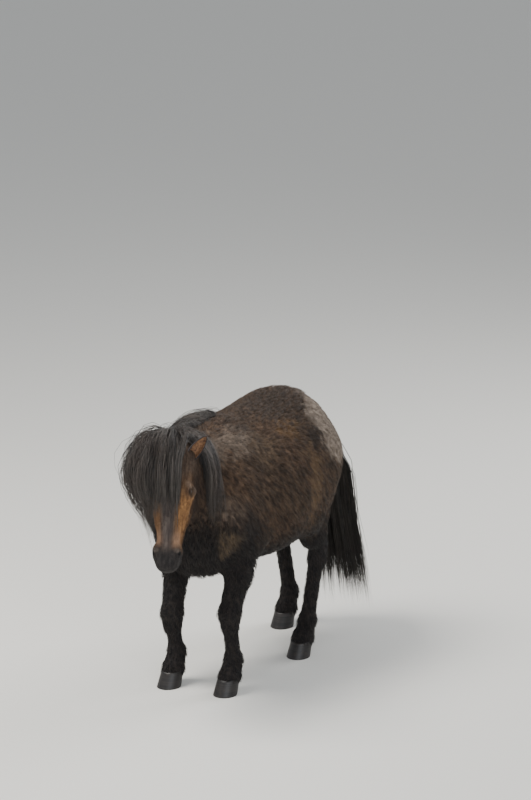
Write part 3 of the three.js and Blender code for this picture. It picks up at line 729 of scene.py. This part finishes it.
def coat_color(f):
    along = f.add("ShaderNodeMapping", Vector=f.place, Rotation=(LIE_TILT, 0.0, 0.0))
    clumps = f.add("ShaderNodeMapping", Vector=along, Scale=CLUMPS)
    ragged = f.noise(1.0, 4.0, clumps, 0.6, "Color")
    offset = f.add("ShaderNodeVectorMath", {"operation": "MULTIPLY_ADD"}, i0=ragged,
                   i1=(RAGGED,) * 3, i2=(-RAGGED / 2,) * 3)
    place = f.add("ShaderNodeVectorMath", {"operation": "ADD"}, i0=f.place, i1=offset)
    streak = f.add("ShaderNodeMapping", Vector=along, Scale=STREAKS)
    fine = f.noise(1.0, 4.0, streak)
    warm = f.ramp(f.noise(4.0, 2.0, along, 0.5), 0.4, 0.64, 0.0, 0.6)
    base = f.laid_over(f.two_tones(fine, 0.3, 0.72, 0x2D231C, 0x5E4C3D),
                       f.two_tones(fine, 0.3, 0.72, 0x36281F, 0x6A5240), warm)

    aft = f.add("ShaderNodeSeparateXYZ", None, 1, Vector=place)
    height = f.add("ShaderNodeSeparateXYZ", None, 2, Vector=place)
    chest = f.ramp(aft, CHEST_AFT, CHEST_FORE, 0.0, CHEST_DARKER)
    height = f.add("ShaderNodeMath", {"operation": "SUBTRACT"}, i0=height, i1=chest)
    low = f.ramp(height, DARK_BELOW, BROWN_ABOVE, 1.0, 0.0)
    base = f.laid_over(base, f.two_tones(fine, 0.35, 0.75, 0x141112, 0x2A2421), low)

    for tones, centre, radii, amount, soft in MARKS:
        mask = f.spot(place, at(centre), np.array(radii) * MM, np.eye(3), soft)
        base = f.laid_over(base, f.two_tones(fine, 0.3, 0.75, *tones), mask, amount)
    hairs = f.measured(f.place, at(POLL), FACE_HAIRS, HEAD_AXES)
    sleek = f.noise(1.0, 3.0, hairs)
    for tones, centre, radii, amount, soft in FACE_MARKS:
        mask = f.spot(f.place, at(on_head(*centre)), np.array(radii) * MM, HEAD_AXES, soft)
        base = f.laid_over(base, f.two_tones(sleek, 0.3, 0.75, *tones), mask, amount)
    return base, fine


# Skin with short underfur: dull, with streaks and a grain of about 2.4 mm (420 to the metre).
finish = Finish("winter coat on skin")
color, fine = coat_color(finish)
grain = finish.add("ShaderNodeMath", TIMES, i0=finish.noise(420.0, 3.0), i1=0.4)
height = finish.add("ShaderNodeMath", TIMES, i0=fine, i1=0.8)
height = finish.add("ShaderNodeMath", {"operation": "ADD"}, i0=height, i1=grain)
skin.data.materials.append(finish.done(color, 0.82, height, 0.004, 0.7, **{"Specular IOR Level": 0.25}))

# Guard hair of the winter coat: a little glossier, and lighter or darker from tuft to tuft, every 3 mm.
finish = Finish("winter coat hair")
color, _ = coat_color(finish)
tone = finish.ramp(finish.noise(300.0, 1.0), 0.3, 0.7, 0.65, 1.35)
tone = finish.add("ShaderNodeCombineColor", i0=tone, i1=tone, i2=tone)
color = finish.add("ShaderNodeMix", {**COLOR_MIX, "blend_type": "MULTIPLY"}, 2, i0=1.0, i6=color, i7=tone)
coat_material = finish.done(color, 0.68, **{"Specular IOR Level": 0.35})
print("coat painted")

# %% [markdown]
# ## Long hair
# Hair of mane and tail is smooth and catches the light along its length. Each strand takes its tone from
# its own place on the flat map, between black and a grey-brown that is painted sheen, so that neighbours
# differ. A rusty shade comes and goes every 90 mm. The tail is coarser, duller and blacker.

# %% Paint the long hair
def strand_tone(f):
    flat = f.add("ShaderNodeUVMap", {"uv_map": "OFBake"})
    return f.noise(150.0, 3.0, flat)


finish = Finish("long black hair")
# The grey-brown strands are painted sheen on the black hair.
color = finish.two_tones(strand_tone(finish), 0.38, 0.66, 0x121011, 0x625A54)
rusty = finish.ramp(finish.noise(11.0, 2.0), 0.45, 0.7)
color = finish.laid_over(color, linear(0x3E3028), rusty, 0.4)
long_hair = finish.done(color, 0.42, **{"Specular IOR Level": 0.55})

finish = Finish("coarse black tail hair")
# The dark grey-brown strands are painted sheen on the black tail hair.
color = finish.two_tones(strand_tone(finish), 0.38, 0.66, 0x0D0B0A, 0x362F29)
tail_hair_finish = finish.done(color, 0.5, **{"Specular IOR Level": 0.4})
print("long hair painted")

# %% [markdown]
# ## Eyes
# Each eyeball is one smooth ball. The iris, the level pupil and the pale rim are rings of colour round the
# direction in which the eye looks, under a wet clear coat.

# %% Make the eyes
def closed_mesh(name, points, faces, material, replaced):
    data = bpy.data.meshes.new(name)
    data.from_pydata([tuple(p) for p in np.asarray(points) * MM + OFFSET], [], faces)
    data.polygons.foreach_set("use_smooth", np.ones(len(data.polygons), bool))
    data.materials.append(material)
    piece = bpy.data.objects.new(name, data)
    bpy.context.scene.collection.objects.link(piece)
    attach(piece, "root")
    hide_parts(replaced)
    return piece


def side_name(s):
    return "left" if s > 0 else "right"


BALL_RINGS, BALL_SIDES = 36, 48
IRIS, PUPIL = np.array([13.0, 11.5, 14.0]) * MM, np.array([6.5, 3.6, 14.0]) * MM
for eye in EYES:
    radius = EYE_RADIUS - 0.3
    points = [eye["look"] * radius]
    for i in range(1, BALL_RINGS):
        angle = math.pi * i / BALL_RINGS
        for j in range(BALL_SIDES):
            around = 2 * math.pi * j / BALL_SIDES
            way = eye["along"] * math.cos(around) + eye["brow"] * math.sin(around)
            points.append((eye["look"] * math.cos(angle) + way * math.sin(angle)) * radius)
    points.append(-eye["look"] * radius)
    points = np.array(points) + eye["centre"]
    faces = []
    last = 1 + (BALL_RINGS - 2) * BALL_SIDES
    for j in range(BALL_SIDES):
        k = (j + 1) % BALL_SIDES
        faces.append([0, 1 + j, 1 + k])
        faces.append([len(points) - 1, last + k, last + j])
        for i in range(BALL_RINGS - 2):
            a = 1 + i * BALL_SIDES
            faces.append([a + j, a + BALL_SIDES + j, a + BALL_SIDES + k, a + k])
    finish = Finish("dark brown eye " + side_name(eye["s"]))
    front = at(eye["centre"] + eye["look"] * EYE_RADIUS)
    axes = [eye["along"], eye["brow"], eye["look"]]
    iris = finish.spot(finish.place, front, IRIS, axes, 0.08)
    pupil = finish.spot(finish.place, front, PUPIL, axes, 0.12)
    color = finish.laid_over(linear(0x4A3A33), linear(0x2A170D), iris)
    color = finish.laid_over(color, linear(0x030304), pupil)
    wet = finish.done(color, 0.06, **{"Coat Weight": 1.0, "Coat Roughness": 0.02})
    name = side_name(eye["s"])
    closed_mesh("eyeball_" + name, points, faces, wet, "eye_" + name)
print("two eyes")

# %% [markdown]
# ## Hooves
# A hoof is an oval cone that leans forward, and its top is cut level with the coronet. Horn grows in rings
# about 4 mm apart (240 to the metre). It is satin and nearly black here, with dry brownish scuffs of 14 mm.

# %% Make the hooves
finish = Finish("dark hoof horn")
rings_up = finish.add("ShaderNodeMapping", Vector=finish.place, Scale=(6.0, 6.0, 240.0))
growth = finish.noise(1.0, 2.0, rings_up)
scuffs = finish.ramp(finish.noise(70.0, 4.0), 0.55, 0.75)
color = finish.two_tones(growth, 0.3, 0.7, 0x100E0E, 0x26211F)
color = finish.laid_over(color, linear(0x453A2E), scuffs, 0.35)
horn = finish.done(color, 0.5, growth, 0.0012, 0.6)
HOOF_ROWS, HOOF_SIDES = 16, 48
HOOF_TAPER, TOP_SLOPE, HEEL_IN = 0.14, 4.5, 1.5
for name, leg in LEGS.items():
    points, faces = [], []
    for i in range(HOOF_ROWS + 1):
        for j in range(HOOF_SIDES):
            around = 2 * math.pi * j / HOOF_SIDES
            c, w = math.cos(around), math.sin(around)
            level = i / HOOF_ROWS * (HOOF_HEIGHT + TOP_SLOPE * w)
            shrink = 1 - HOOF_TAPER * level / (HOOF_HEIGHT + 20)
            bead = 0.25 * math.sin(level * 0.9) + (0.9 if i == HOOF_ROWS else 0)
            x = leg["coronet"][0] + c * (HOOF_RADIUS - 1.4 + bead) * shrink
            y = leg["coronet"][1] + w * (HOOF_RADIUS + 3.6 + bead) * shrink
            y = y - (HOOF_HEIGHT - level) * HOOF_LEAN - HOOF_AHEAD - HEEL_IN * max(w, 0) ** 2
            points.append([x, y, level])
    rim = HOOF_ROWS * HOOF_SIDES
    for i in range(HOOF_ROWS):
        for j in range(HOOF_SIDES):
            a, b = i * HOOF_SIDES + j, i * HOOF_SIDES + (j + 1) % HOOF_SIDES
            faces.append([a, b, b + HOOF_SIDES, a + HOOF_SIDES])
    base = len(points)
    middle = np.mean(points[:HOOF_SIDES], axis=0)
    wall = [mix(points[j], middle, 0.12) for j in range(HOOF_SIDES)]
    sole = [mix(points[j], middle, 0.2) + [0, 0, 5] for j in range(HOOF_SIDES)]
    crown = np.mean(points[rim:], axis=0)
    points += wall + sole + [middle + [0, 0, 7], crown]
    top = len(points) - 1
    for j in range(HOOF_SIDES):
        k = (j + 1) % HOOF_SIDES
        faces.append([j, base + j, base + k, k])
        faces.append([base + j, base + HOOF_SIDES + j, base + HOOF_SIDES + k, base + k])
        faces.append([base + HOOF_SIDES + j, top - 1, base + HOOF_SIDES + k])
        faces.append([rim + j, rim + k, top])
    hoof = name.replace("leg", "hoof")
    closed_mesh(hoof + "_horn", points, faces, horn, hoof)
print("four hooves")

# %% [markdown]
# ## Ears
# An ear is a cup: at each height its section is a bent band that opens to the front, wide low down and
# closing to a soft tip. An inner and an outer face give it a thickness. Its short fur is dull, tan in the
# cup and nearly black behind, in tufts of about 6 mm (160 to the metre).

# %% Make the ears
def ear_fur(name, dark, light):
    finish = Finish(name)
    streak = finish.noise(160.0, 3.0)
    return finish.done(finish.two_tones(streak, 0.3, 0.7, dark, light), 0.8, streak, 0.001, 0.6)


ear_inner = ear_fur("ear fur", 0x4A3122, 0x8A6444)
ear_outer = ear_fur("ear back fur", 0x141012, 0x2E2524)
EARS = []
for s in (-1, 1):
    direction = unit(DOWN * -0.82 + LEFT * s * 0.56 + FRONT * 0.02)
    side_way = unit(np.cross(direction, unit(FRONT + LEFT * s * 0.55 + DOWN * 0.2)))
    EARS.append({"s": s, "root": on_head(30, s * 50, -4), "along": direction, "side": side_way,
                 "front": np.cross(side_way, direction)})


EAR_ROWS, EAR_COLUMNS, EAR_THICKNESS = 22, 24, 3.2
EAR_GIRTH, EAR_FLAT, EAR_BOW, EAR_SUNK, EAR_AHEAD = 24.0, 0.72, 10, 10, 8
WRAP_LOW, WRAP_LESS = 2.25, 0.85


def ear_point(ear, t, across, depth):
    out = EAR_GIRTH * math.sin(math.pi * min(0.16 + 0.84 * t, 1.0)) ** 0.62 * (1 - 0.12 * t) - depth
    wrap = (WRAP_LOW - WRAP_LESS * t) * across
    forwards = EAR_AHEAD + EAR_BOW * t * t - math.cos(wrap) * out * EAR_FLAT
    lift = (EAR_LENGTH + 4) * t - EAR_SUNK
    return ear["root"] + ear["along"] * lift + ear["side"] * math.sin(wrap) * out + ear["front"] * forwards


for ear in EARS:
    points, faces = [], []
    for depth in (0.0, EAR_THICKNESS):
        for i in range(EAR_ROWS + 1):
            for j in range(EAR_COLUMNS + 1):
                points.append(ear_point(ear, i / EAR_ROWS, 2 * j / EAR_COLUMNS - 1, depth))
    sheet = (EAR_ROWS + 1) * (EAR_COLUMNS + 1)
    for i in range(EAR_ROWS):
        for j in range(EAR_COLUMNS):
            a = i * (EAR_COLUMNS + 1) + j
            b = a + EAR_COLUMNS + 1
            faces.append([a, a + 1, b + 1, b])
            faces.append([a + sheet, b + sheet, b + 1 + sheet, a + 1 + sheet])
    for i in range(EAR_ROWS):
        for j in (0, EAR_COLUMNS):
            a = i * (EAR_COLUMNS + 1) + j
            b = a + EAR_COLUMNS + 1
            face = [a, b, b + sheet, a + sheet]
            faces.append(face if j == 0 else face[::-1])
    name = side_name(ear["s"])
    piece = closed_mesh("ear_shell_" + name, points, faces, ear_outer, "ear_" + name)
    piece.data.materials.append(ear_inner)
    inside = np.zeros(len(faces), np.int32)
    inside[1:2 * EAR_ROWS * EAR_COLUMNS:2] = 1
    piece.data.polygons.foreach_set("material_index", inside)
print("two ears")

# %% [markdown]
# ## Unwrapping the body
# Each hair gets a place of its own on a flat map. The map is an
# unwrap of the body: a cylinder round the barrel, one round the head, and one round each leg.

# %% Flat map of the body
def unwrap(p):
    around = np.arctan2(p[:, 0], p[:, 2] - 700)
    u = 0.26 + 0.24 * around / np.pi
    v = 0.30 + 0.66 * (p[:, 1] + 620) / 1300
    local = in_head(p)
    turned = np.arctan2(local[:, 1], local[:, 2] + 20)
    on_face = (head_share(p) > 0.5) | (head_field(p) < 6)
    u = np.where(on_face, 0.76 + 0.22 * turned / np.pi, u)
    v = np.where(on_face, 0.55 + 0.42 * (local[:, 0] + 80) / 560, v)
    low = p[:, 2] < 470
    for i, leg in enumerate(LEGS.values()):
        nearest = low & (np.sign(p[:, 0]) == leg["s"]) & ((p[:, 1] < -80) == leg["fore"])
        axis_y = np.interp(p[:, 2], [HOOF_HEIGHT, leg["fetlock"][2], leg["mid"][2], leg["top"][2]],
                           [leg["coronet"][1], leg["fetlock"][1], leg["mid"][1], leg["top"][1]])
        angle = np.arctan2(p[:, 0] - leg["mid"][0], p[:, 1] - axis_y)
        u = np.where(nearest, 0.51 + 0.12 * (i + 0.5) + 0.055 * angle / np.pi, u)
        v = np.where(nearest, 0.02 + 0.5 * p[:, 2] / 480, v)
    return np.stack([np.clip(u, 0.003, 0.997), np.clip(v, 0.003, 0.997)], 1)


def add_patches(mesh, roots, corners):
    flat = mesh.uv_layers.new(name="OFBake")
    uv = np.repeat(unwrap(roots), len(corners), axis=0).reshape(-1, len(corners), 2) + corners
    flat.data.foreach_set("uv", uv.astype(np.float32).ravel())


print("flat map ready")

# %% [markdown]
# ## Strands
# A strand is a thin spike with three sides. Its rings follow a path, and it ends in a point. All strands of
# a piece are made at once with arrays, which is far quicker than one by one. Each gets a small patch of its
# own on the flat map, by its root.

# %% Strand tools
PATCH = 0.003


def strands(name, paths, widths, material, flat_way, thin=0.45):
    count, rings = paths.shape[:2]
    along = unit(np.gradient(paths, axis=1))
    across = unit(np.cross(along, np.broadcast_to(flat_way, (count, 3))[:, None, :]))
    up = unit(np.cross(across, along))
    t = np.linspace(0, 1, rings)
    shape = (1 - t ** 1.7) * (0.75 + 0.9 * t * (1 - t))
    half = (widths[:, None] * shape[None, :-1] / 2)[..., None]
    p, across, up = paths[:, :-1], across[:, :-1], up[:, :-1]
    ring = np.stack([
        p - across * half - up * half * thin * 0.5,
        p + across * half - up * half * thin * 0.5,
        p + up * half * thin,
    ], axis=2)
    each = 3 * (rings - 1) + 1
    points = np.concatenate([ring.reshape(count, -1, 3), paths[:, -1:]], axis=1).reshape(-1, 3)
    pattern, corners = [], []
    for i in range(rings - 1):
        low, high = i / (rings - 1) * PATCH, (i + 1) / (rings - 1) * PATCH
        for j in range(3):
            a, b = 3 * i + j, 3 * i + (j + 1) % 3
            one, two = j / 3 * PATCH, (j + 1) / 3 * PATCH
            if i < rings - 2:
                pattern += [[a, b, b + 3], [a, b + 3, a + 3]]
                corners += [[one, low], [two, low], [two, high], [one, low], [two, high], [one, high]]
            else:
                pattern.append([a, b, 3 * i + 3])
                corners += [[one, low], [two, low], [(one + two) / 2, high]]
    pattern.append([0, 2, 1])
    corners += [[0, 0], [PATCH * 0.66, 0], [PATCH * 0.33, 0]]
    faces = (np.array(pattern)[None] + (np.arange(count) * each)[:, None, None]).reshape(-1, 3)
    piece = mesh_from(name, points, faces)
    add_patches(piece.data, paths[:, 0], np.array(corners) - PATCH / 2)
    piece.data.materials.append(material)
    print(name, count, "strands")
    return piece


print("strand tools ready")

# %% [markdown]
# ## Growing a lock
# A lock grows in small steps from its root. Each step bends it down a little, more so the longer it is, and
# lifts it where it would sink into the body or an ear, so that it lies over them as real hair does.

# %% Growing tools
STEPS_PER_RING = 3
ROOT_DEPTH, LOWEST, LIFT_PER_STEP, STEEPEST = 5, 3, 1.6, 0.9
CLING_AFTER = 4
BEND_LENGTH = 50
EAR_GIRTHS = [30, 30], [14, 14]


def hair_ground(p):
    value = body_field(p)
    for ear in EARS:
        cone = limb(ear["root"], ear["root"] + ear["along"] * EAR_LENGTH, *EAR_GIRTHS)
        value = np.minimum(value, cone(p))
    return value


def ground_slope(p):
    return in_parts(lambda q: slope(hair_ground, q), p)


def grow(roots, leave, span, fall, over, pull, rings, cling):
    steps = (rings - 2) * STEPS_PER_RING
    step = (span / steps)[:, None]
    p, d = roots.copy(), unit(leave)
    path = [roots - ground_slope(roots) * ROOT_DEPTH, roots]
    gravity = np.array([0.0, 0, -1])
    for i in range(1, steps + 1):
        d = unit(d + gravity * fall[:, None] * step / BEND_LENGTH + pull * step / BEND_LENGTH)
        if i > CLING_AFTER * STEPS_PER_RING:
            d = unit(d - ground_slope(p) * cling * step / BEND_LENGTH)
        before = p
        p = p + d * step
        short = np.minimum(over, LOWEST + i * LIFT_PER_STEP) - in_parts(hair_ground, p)
        short = np.minimum(short, STEEPEST * step[:, 0])
        low = short > 0
        if low.any():
            p[low] += slope(hair_ground, p[low]) * short[low][:, None]
            d = unit(p - before)
        if i % STEPS_PER_RING == 0:
            path.append(p)
    return np.stack(path, 1)


print("growing tools ready")

# %% [markdown]
# ## The forelock
# Guides are laid first, then many strands follow each guide. They start spread out and draw together
# towards the tip, which is what makes a lock. The forelock falls from the poll over the brow and the right
# eye, longer on the right side.

# %% Lay the forelock
rng = np.random.default_rng(5)


def follow(guides, count, spread, gather, width, stray=0.16):
    picked = rng.integers(0, len(guides), count)
    base = guides[picked]
    t = np.linspace(0, 1, base.shape[1])[None, :, None]
    offset = rng.normal(size=(count, 1, 3)) * spread
    bends = rng.uniform(3, 9, (count, 1, 1))
    phase = rng.uniform(0, 6.3, (count, 1, 3))
    wave = np.sin(t * bends + phase) * rng.uniform(1, 5, (count, 1, 1))
    loose = np.where(rng.random((count, 1, 1)) < stray, 2.2, 1.0)
    paths = base + offset * loose * (1 - gather * t) + wave * t * loose
    keep = rng.uniform(0.78, 1.04, (count, 1, 1))
    paths = paths[:, :1] + (paths - paths[:, :1]) * keep
    return paths, rng.uniform(*width, count)


def draw(low, high, count):
    return rng.uniform(low, high, count)


n = 170
across = draw(-46, 34, n)
to_right = np.clip(-across / 46, -0.6, 1)
roots = np.array([on_head(d, a, 60) for d, a in zip(draw(-16, 34, n), across)])
roots = settle(head_field, roots, 4, 40)
leave = (DOWN * draw(-1.0, -0.2, n)[:, None] + FRONT * 0.6
         + LEFT * (draw(-0.2, 0.2, n) - 0.5 * to_right - 0.1)[:, None])
span = draw(290, 355, n) + 100 * np.maximum(to_right, 0) ** 1.5
forelock = grow(roots, leave, span, draw(0.75, 1.05, n), draw(6, 32, n), np.zeros((n, 3)), 11, 0.6)
paths, widths = follow(forelock, 3400, 7.0, 0.42, (1.0, 2.1))
# What would fall over the left eye is gathered to the right of an edge, 30 mm left of the face's middle.
EDGE, BELOW, GATHER = 30.0, 60, 0.88
local = in_head(paths)
edge = np.where(local[..., 0] > BELOW, EDGE, EDGE + (BELOW - local[..., 0]) * 0.3)
local[..., 1] -= np.maximum(local[..., 1] - edge, 0) * GATHER
paths = POLL + local @ HEAD_AXES
strands("forelock", paths, widths, long_hair, FRONT)

# %% [markdown]
# ## The mane
# The mane grows from the crest between ears and withers. Most of it falls to the right. Behind the ears
# some falls to the left, where it shows beside the neck.

# %% Lay the mane
def crest(t, across):
    place = np.stack([20 * (1 - t) + across, -546 + 311 * t, np.full(len(t), 1100.0)], 1)
    for _ in range(60):
        place[:, 2] -= np.maximum(body_field(place) * 0.7, 0)
    return place


n = 150
t = np.linspace(0, 1, n)
to_left = (t > 0.15) & (t < 0.38) & (rng.random(n) < 0.8)
side = np.where(to_left, 1.0, -1.0)
roots = crest(t, np.where(to_left, draw(2, 18, n), draw(-40, -20, n)))
leave = np.stack([side * draw(0.8, 1.0, n), np.where(to_left, draw(-0.2, 0.0, n), draw(-0.2, 0.2, n)),
                  np.where(to_left, 0.0, -0.1)], 1)
pull = np.stack([np.zeros(n), np.where(to_left, -0.01, 0.04), np.zeros(n)], 1)
span = draw(290, 380, n) - 130 * np.maximum(0, t - 0.45)
mane = grow(roots, leave, span, draw(0.6, 0.9, n), draw(3, 13, n), pull, 10, 0.4)
paths, widths = follow(mane, 3800, 5.5, 0.5, (0.9, 2.0))
strands("mane", paths, widths, long_hair, (0.5, -0.6, 0.6))

# %% [markdown]
# ## The tail
# The tail's hair grows all round the dock and hangs to just above the ground. Each guide runs from its root
# to a target at each level, given by the middle, the half width and the place behind the pony in mm.

# %% Lay the tail
TAIL_LEVELS = [60, 155, 455, 705, 860]
TAIL_MIDDLE, TAIL_HALF = [60, 60, 46, 42, 0], [120, 120, 92, 88, 28]
TAIL_AFT = [522, 506, 464, 440, 352]
n = 170
t = np.linspace(0.05, 1, n)
around = draw(-2.4, 2.4, n)
bend = 0.45
bone = np.where(t[:, None] < bend, DOCK[0] + (DOCK[1] - DOCK[0]) * (t / bend)[:, None],
                DOCK[1] + (DOCK[2] - DOCK[1]) * ((t - bend) / (1 - bend))[:, None])
away = np.stack([np.sin(around), np.cos(around), np.full(n, 0.2)], 1)
roots = settle(dock_field, bone + away * 26, 4, 40)
down_tail = np.linspace(0, 1, 11)[None]
level = roots[:, 2:] * (1 - down_tail) + draw(75, 190, n)[:, None] * down_tail
beside = (0.62 * np.sin(around) + draw(-0.4, 0.4, n))[:, None] * np.interp(level, TAIL_LEVELS, TAIL_HALF)
behind = (0.6 * np.cos(around) + draw(-0.4, 0.4, n))[:, None] * 34
share = smooth(0, 0.34, down_tail)
tail = np.stack([
    roots[:, :1] * (1 - share) + (np.interp(level, TAIL_LEVELS, TAIL_MIDDLE) + beside) * share,
    roots[:, 1:2] * (1 - share) + (np.interp(level, TAIL_LEVELS, TAIL_AFT) + behind) * share,
    level,
], 2)
paths, widths = follow(tail, 3400, 6.0, 0.3, (1.7, 3.3), 0.05)
paths[:, 0] = settle(dock_field, paths[:, 0], 4, 40)
strands("tail_hair", paths, widths, tail_hair_finish, (0.0, 1.0, 0.0))

# %% [markdown]
# ## How the coat lies
# The coat lies back and down over the barrel, straight back on the topline, down the legs and down the face.
# It is longest under the belly, 46 mm, shorter on the legs and where it is shed, and 6 to 24 mm on the head.

# %% Lie and length of the coat
def lie_of(p, normal):
    share = head_share(p)[:, None]
    legs = leg_share(p)[:, None]
    low = smooth(-0.1, -0.75, normal[:, 2])[:, None]
    back = np.stack([np.sign(p[:, 0]) * 0.1, np.full(len(p), 0.62), np.full(len(p), -0.78)], 1)
    topline = smooth(0.35, 0.9, normal[:, 2])[:, None]
    way = back * (1 - topline) + np.array([0, 1, -0.1]) * topline
    way = way * (1 - low) + np.array([0, 0.85, -0.6]) * low
    front = smooth(-0.35, -0.85, normal[:, 1])[:, None]
    way = way * (1 - front) + np.array([0, 0.1, -1]) * front
    way = way * (1 - legs) + np.array([0, 0.12, -1]) * legs
    way = way * (1 - share) + (DOWN * 0.9 + np.array([0, 0.15, 0])) * share
    return unit(way - normal * (way * normal).sum(1, keepdims=True))


def length_of(p, normal):
    share, legs = head_share(p), leg_share(p)
    size = np.where(normal[:, 2] < -0.5, 46.0, 38.0) * (1 - 0.42 * legs)
    shed = np.linalg.norm((p - SHED[0]) / SHED[1], axis=1)
    size = np.where(shed < 1.0, 15.0, size)
    local = in_head(p)
    face = 11 - 5 * smooth(200, 400, local[:, 0]) + 13 * smooth(-20, -95, local[:, 2])
    return size * (1 - share) + face * share


print("coat under the belly", length_of(np.array([[0.0, 0, 600]]), np.array([[0.0, 0, -1]])), "mm")

# %% [markdown]
# ## Tufts
# Tufts are set at random places of the skin. Each is a short strand that rises from its root and lies down
# again. Neighbours lean together into clumps, which a thick winter coat does and a flat texture doesn't.

# %% Tuft tools
def sample_skin(count, weight):
    data = skin.data
    data.calc_loop_triangles()
    tris = np.empty(len(data.loop_triangles) * 3, np.int32)
    data.loop_triangles.foreach_get("vertices", tris)
    tris = tris.reshape(-1, 3)
    spots = points_of(data)
    a, b, c = (spots[tris[:, i]] for i in range(3))
    area = np.linalg.norm(np.cross(b - a, c - a), axis=1) / 2
    middle = (a + b + c) / 3
    chance = area * weight(middle)
    picked = rng.choice(len(tris), count, p=chance / chance.sum())
    u, v = rng.random((count, 1)), rng.random((count, 1))
    over = (u + v) > 1
    u, v = np.where(over, 1 - u, u), np.where(over, 1 - v, v)
    root = a[picked] + (b - a)[picked] * u + (c - a)[picked] * v
    return root, unit(np.cross(b - a, c - a)[picked])


MIDDLE_AT, MIDDLE_RISE, TIP_AT, TIP_RISE = 0.45, 0.5, 0.96, 0.62
SWAY, PULL, MIDDLE_PULL = 0.12, 0.8, 0.4


def coat_piece(name, count, weight, width, clump, slot, lift):
    root, normal = sample_skin(count, weight)
    way = lie_of(root, normal)
    span = length_of(root, normal) * rng.uniform(0.7, 1.15, count)
    sway = rng.normal(size=(count, 3)) * SWAY
    way = unit(way + sway - normal * (sway * normal).sum(1, keepdims=True))
    rise = rng.uniform(0.7, 1.3, count)[:, None] * lift
    start = root - normal * 1.5
    middle = root + way * span[:, None] * MIDDLE_AT + normal * span[:, None] * rise * MIDDLE_RISE
    tip = root + way * span[:, None] * TIP_AT + normal * span[:, None] * rise * TIP_RISE
    centres = root[:max(int(count / clump), 1)]
    tree = kdtree.KDTree(len(centres))
    for i, place in enumerate(centres):
        tree.insert(place, i)
    tree.balance()
    nearest = np.array([tree.find(place)[1] for place in root])
    pull = PULL * rng.random((count, 1)) ** 0.6
    tip = tip * (1 - pull) + tip[nearest] * pull
    middle = middle * (1 - pull * MIDDLE_PULL) + middle[nearest] * pull * MIDDLE_PULL
    paths = np.stack([start, middle, tip], 1)
    widths = rng.uniform(*width, count)
    return strands(name, paths, widths, coat_material, normal, thin=0.5)


print("tuft tools ready")

# %% [markdown]
# ## Where each piece grows
# A weight says how many tufts a place gets. The body's coat is cut across in three pieces, and the legs and
# the head have their own, with narrower tufts. Eyes and lips stay clear.

# %% Lay the coat
FORE_END, HIND_START = -90, 120
EYE_CLEAR, LIPS_FROM, ON_LIPS = 25, 352, 0.15


def body_between(fore, aft):
    def weight(p):
        body = (1 - head_share(p)) * (1 - leg_share(p))
        return body * (p[:, 1] >= fore) * (p[:, 1] < aft)

    return weight


def on_legs(p):
    return leg_share(p) * (p[:, 2] > HOOF_HEIGHT - 6)


def on_head_skin(p):
    clear = np.ones(len(p))
    for eye in EYES:
        clear *= np.linalg.norm(p - eye["centre"], axis=1) > EYE_CLEAR
    local = in_head(p)
    lips = (local[:, 0] > LIPS_FROM) & (head_field(p) < 8)
    return head_share(p) * (clear * np.where(lips, ON_LIPS, 1.0))


COAT = [
    ("coat_fore", 18000, body_between(-math.inf, FORE_END), (1.5, 3.0), 14, "winter_coat", 0.30),
    ("coat_middle", 18000, body_between(FORE_END, HIND_START), (1.5, 3.0), 14, "winter_coat", 0.30),
    ("coat_hind", 18000, body_between(HIND_START, math.inf), (1.5, 3.0), 14, "winter_coat", 0.30),
    ("coat_legs", 15000, on_legs, (1.2, 2.4), 5, "dark_coat", 0.22),
    ("coat_head", 17000, on_head_skin, (0.7, 1.4), 4, "face_coat", 0.2),
]
share_made = 1.0
for name, count, *rest in COAT:
    coat_piece(name, int(count * share_made), *rest)

# %% [markdown]
# ## Floor and light
# A pale floor and large soft lights, as in a studio. The sun of the photograph stands high and behind the
# pony's right shoulder, so the key light does too.

# %% Floor, lights and world
bpy.ops.mesh.primitive_plane_add(size=30, location=(0, 0, 0))
floor = bpy.context.object
floor.name = "studio_floor"
finish = Finish("pale studio floor")
floor.data.materials.append(finish.done(linear(0xE4E2DC), 0.8))


def light(name, place, aim_at, size, power, color=(1, 1, 1)):
    data = bpy.data.lights.new(name, "AREA")
    data.shape, data.size, data.energy, data.color = "SQUARE", size, power, color
    lamp = bpy.data.objects.new(name, data)
    lamp.location = place
    lamp.rotation_mode = "QUATERNION"
    lamp.rotation_quaternion = (Vector(aim_at) - Vector(place)).to_track_quat("-Z", "Y")
    bpy.context.scene.collection.objects.link(lamp)


light("key", (-1.5, -1.5, 4.5), (0, 0, 0.7), 2.0, 260, (1.0, 0.97, 0.92))
light("fill", (4.0, -4.0, 2.2), (0, 0, 0.6), 3.5, 150, (0.92, 0.96, 1.0))
light("back", (1.5, 4.0, 3.0), (0, 0, 0.8), 2.5, 120)
world = bpy.data.worlds.new("studio")
world.use_nodes = True
world.node_tree.nodes["Background"].inputs[0].default_value = (0.86, 0.9, 0.95, 1)
world.node_tree.nodes["Background"].inputs[1].default_value = 0.55
bpy.context.scene.world = world
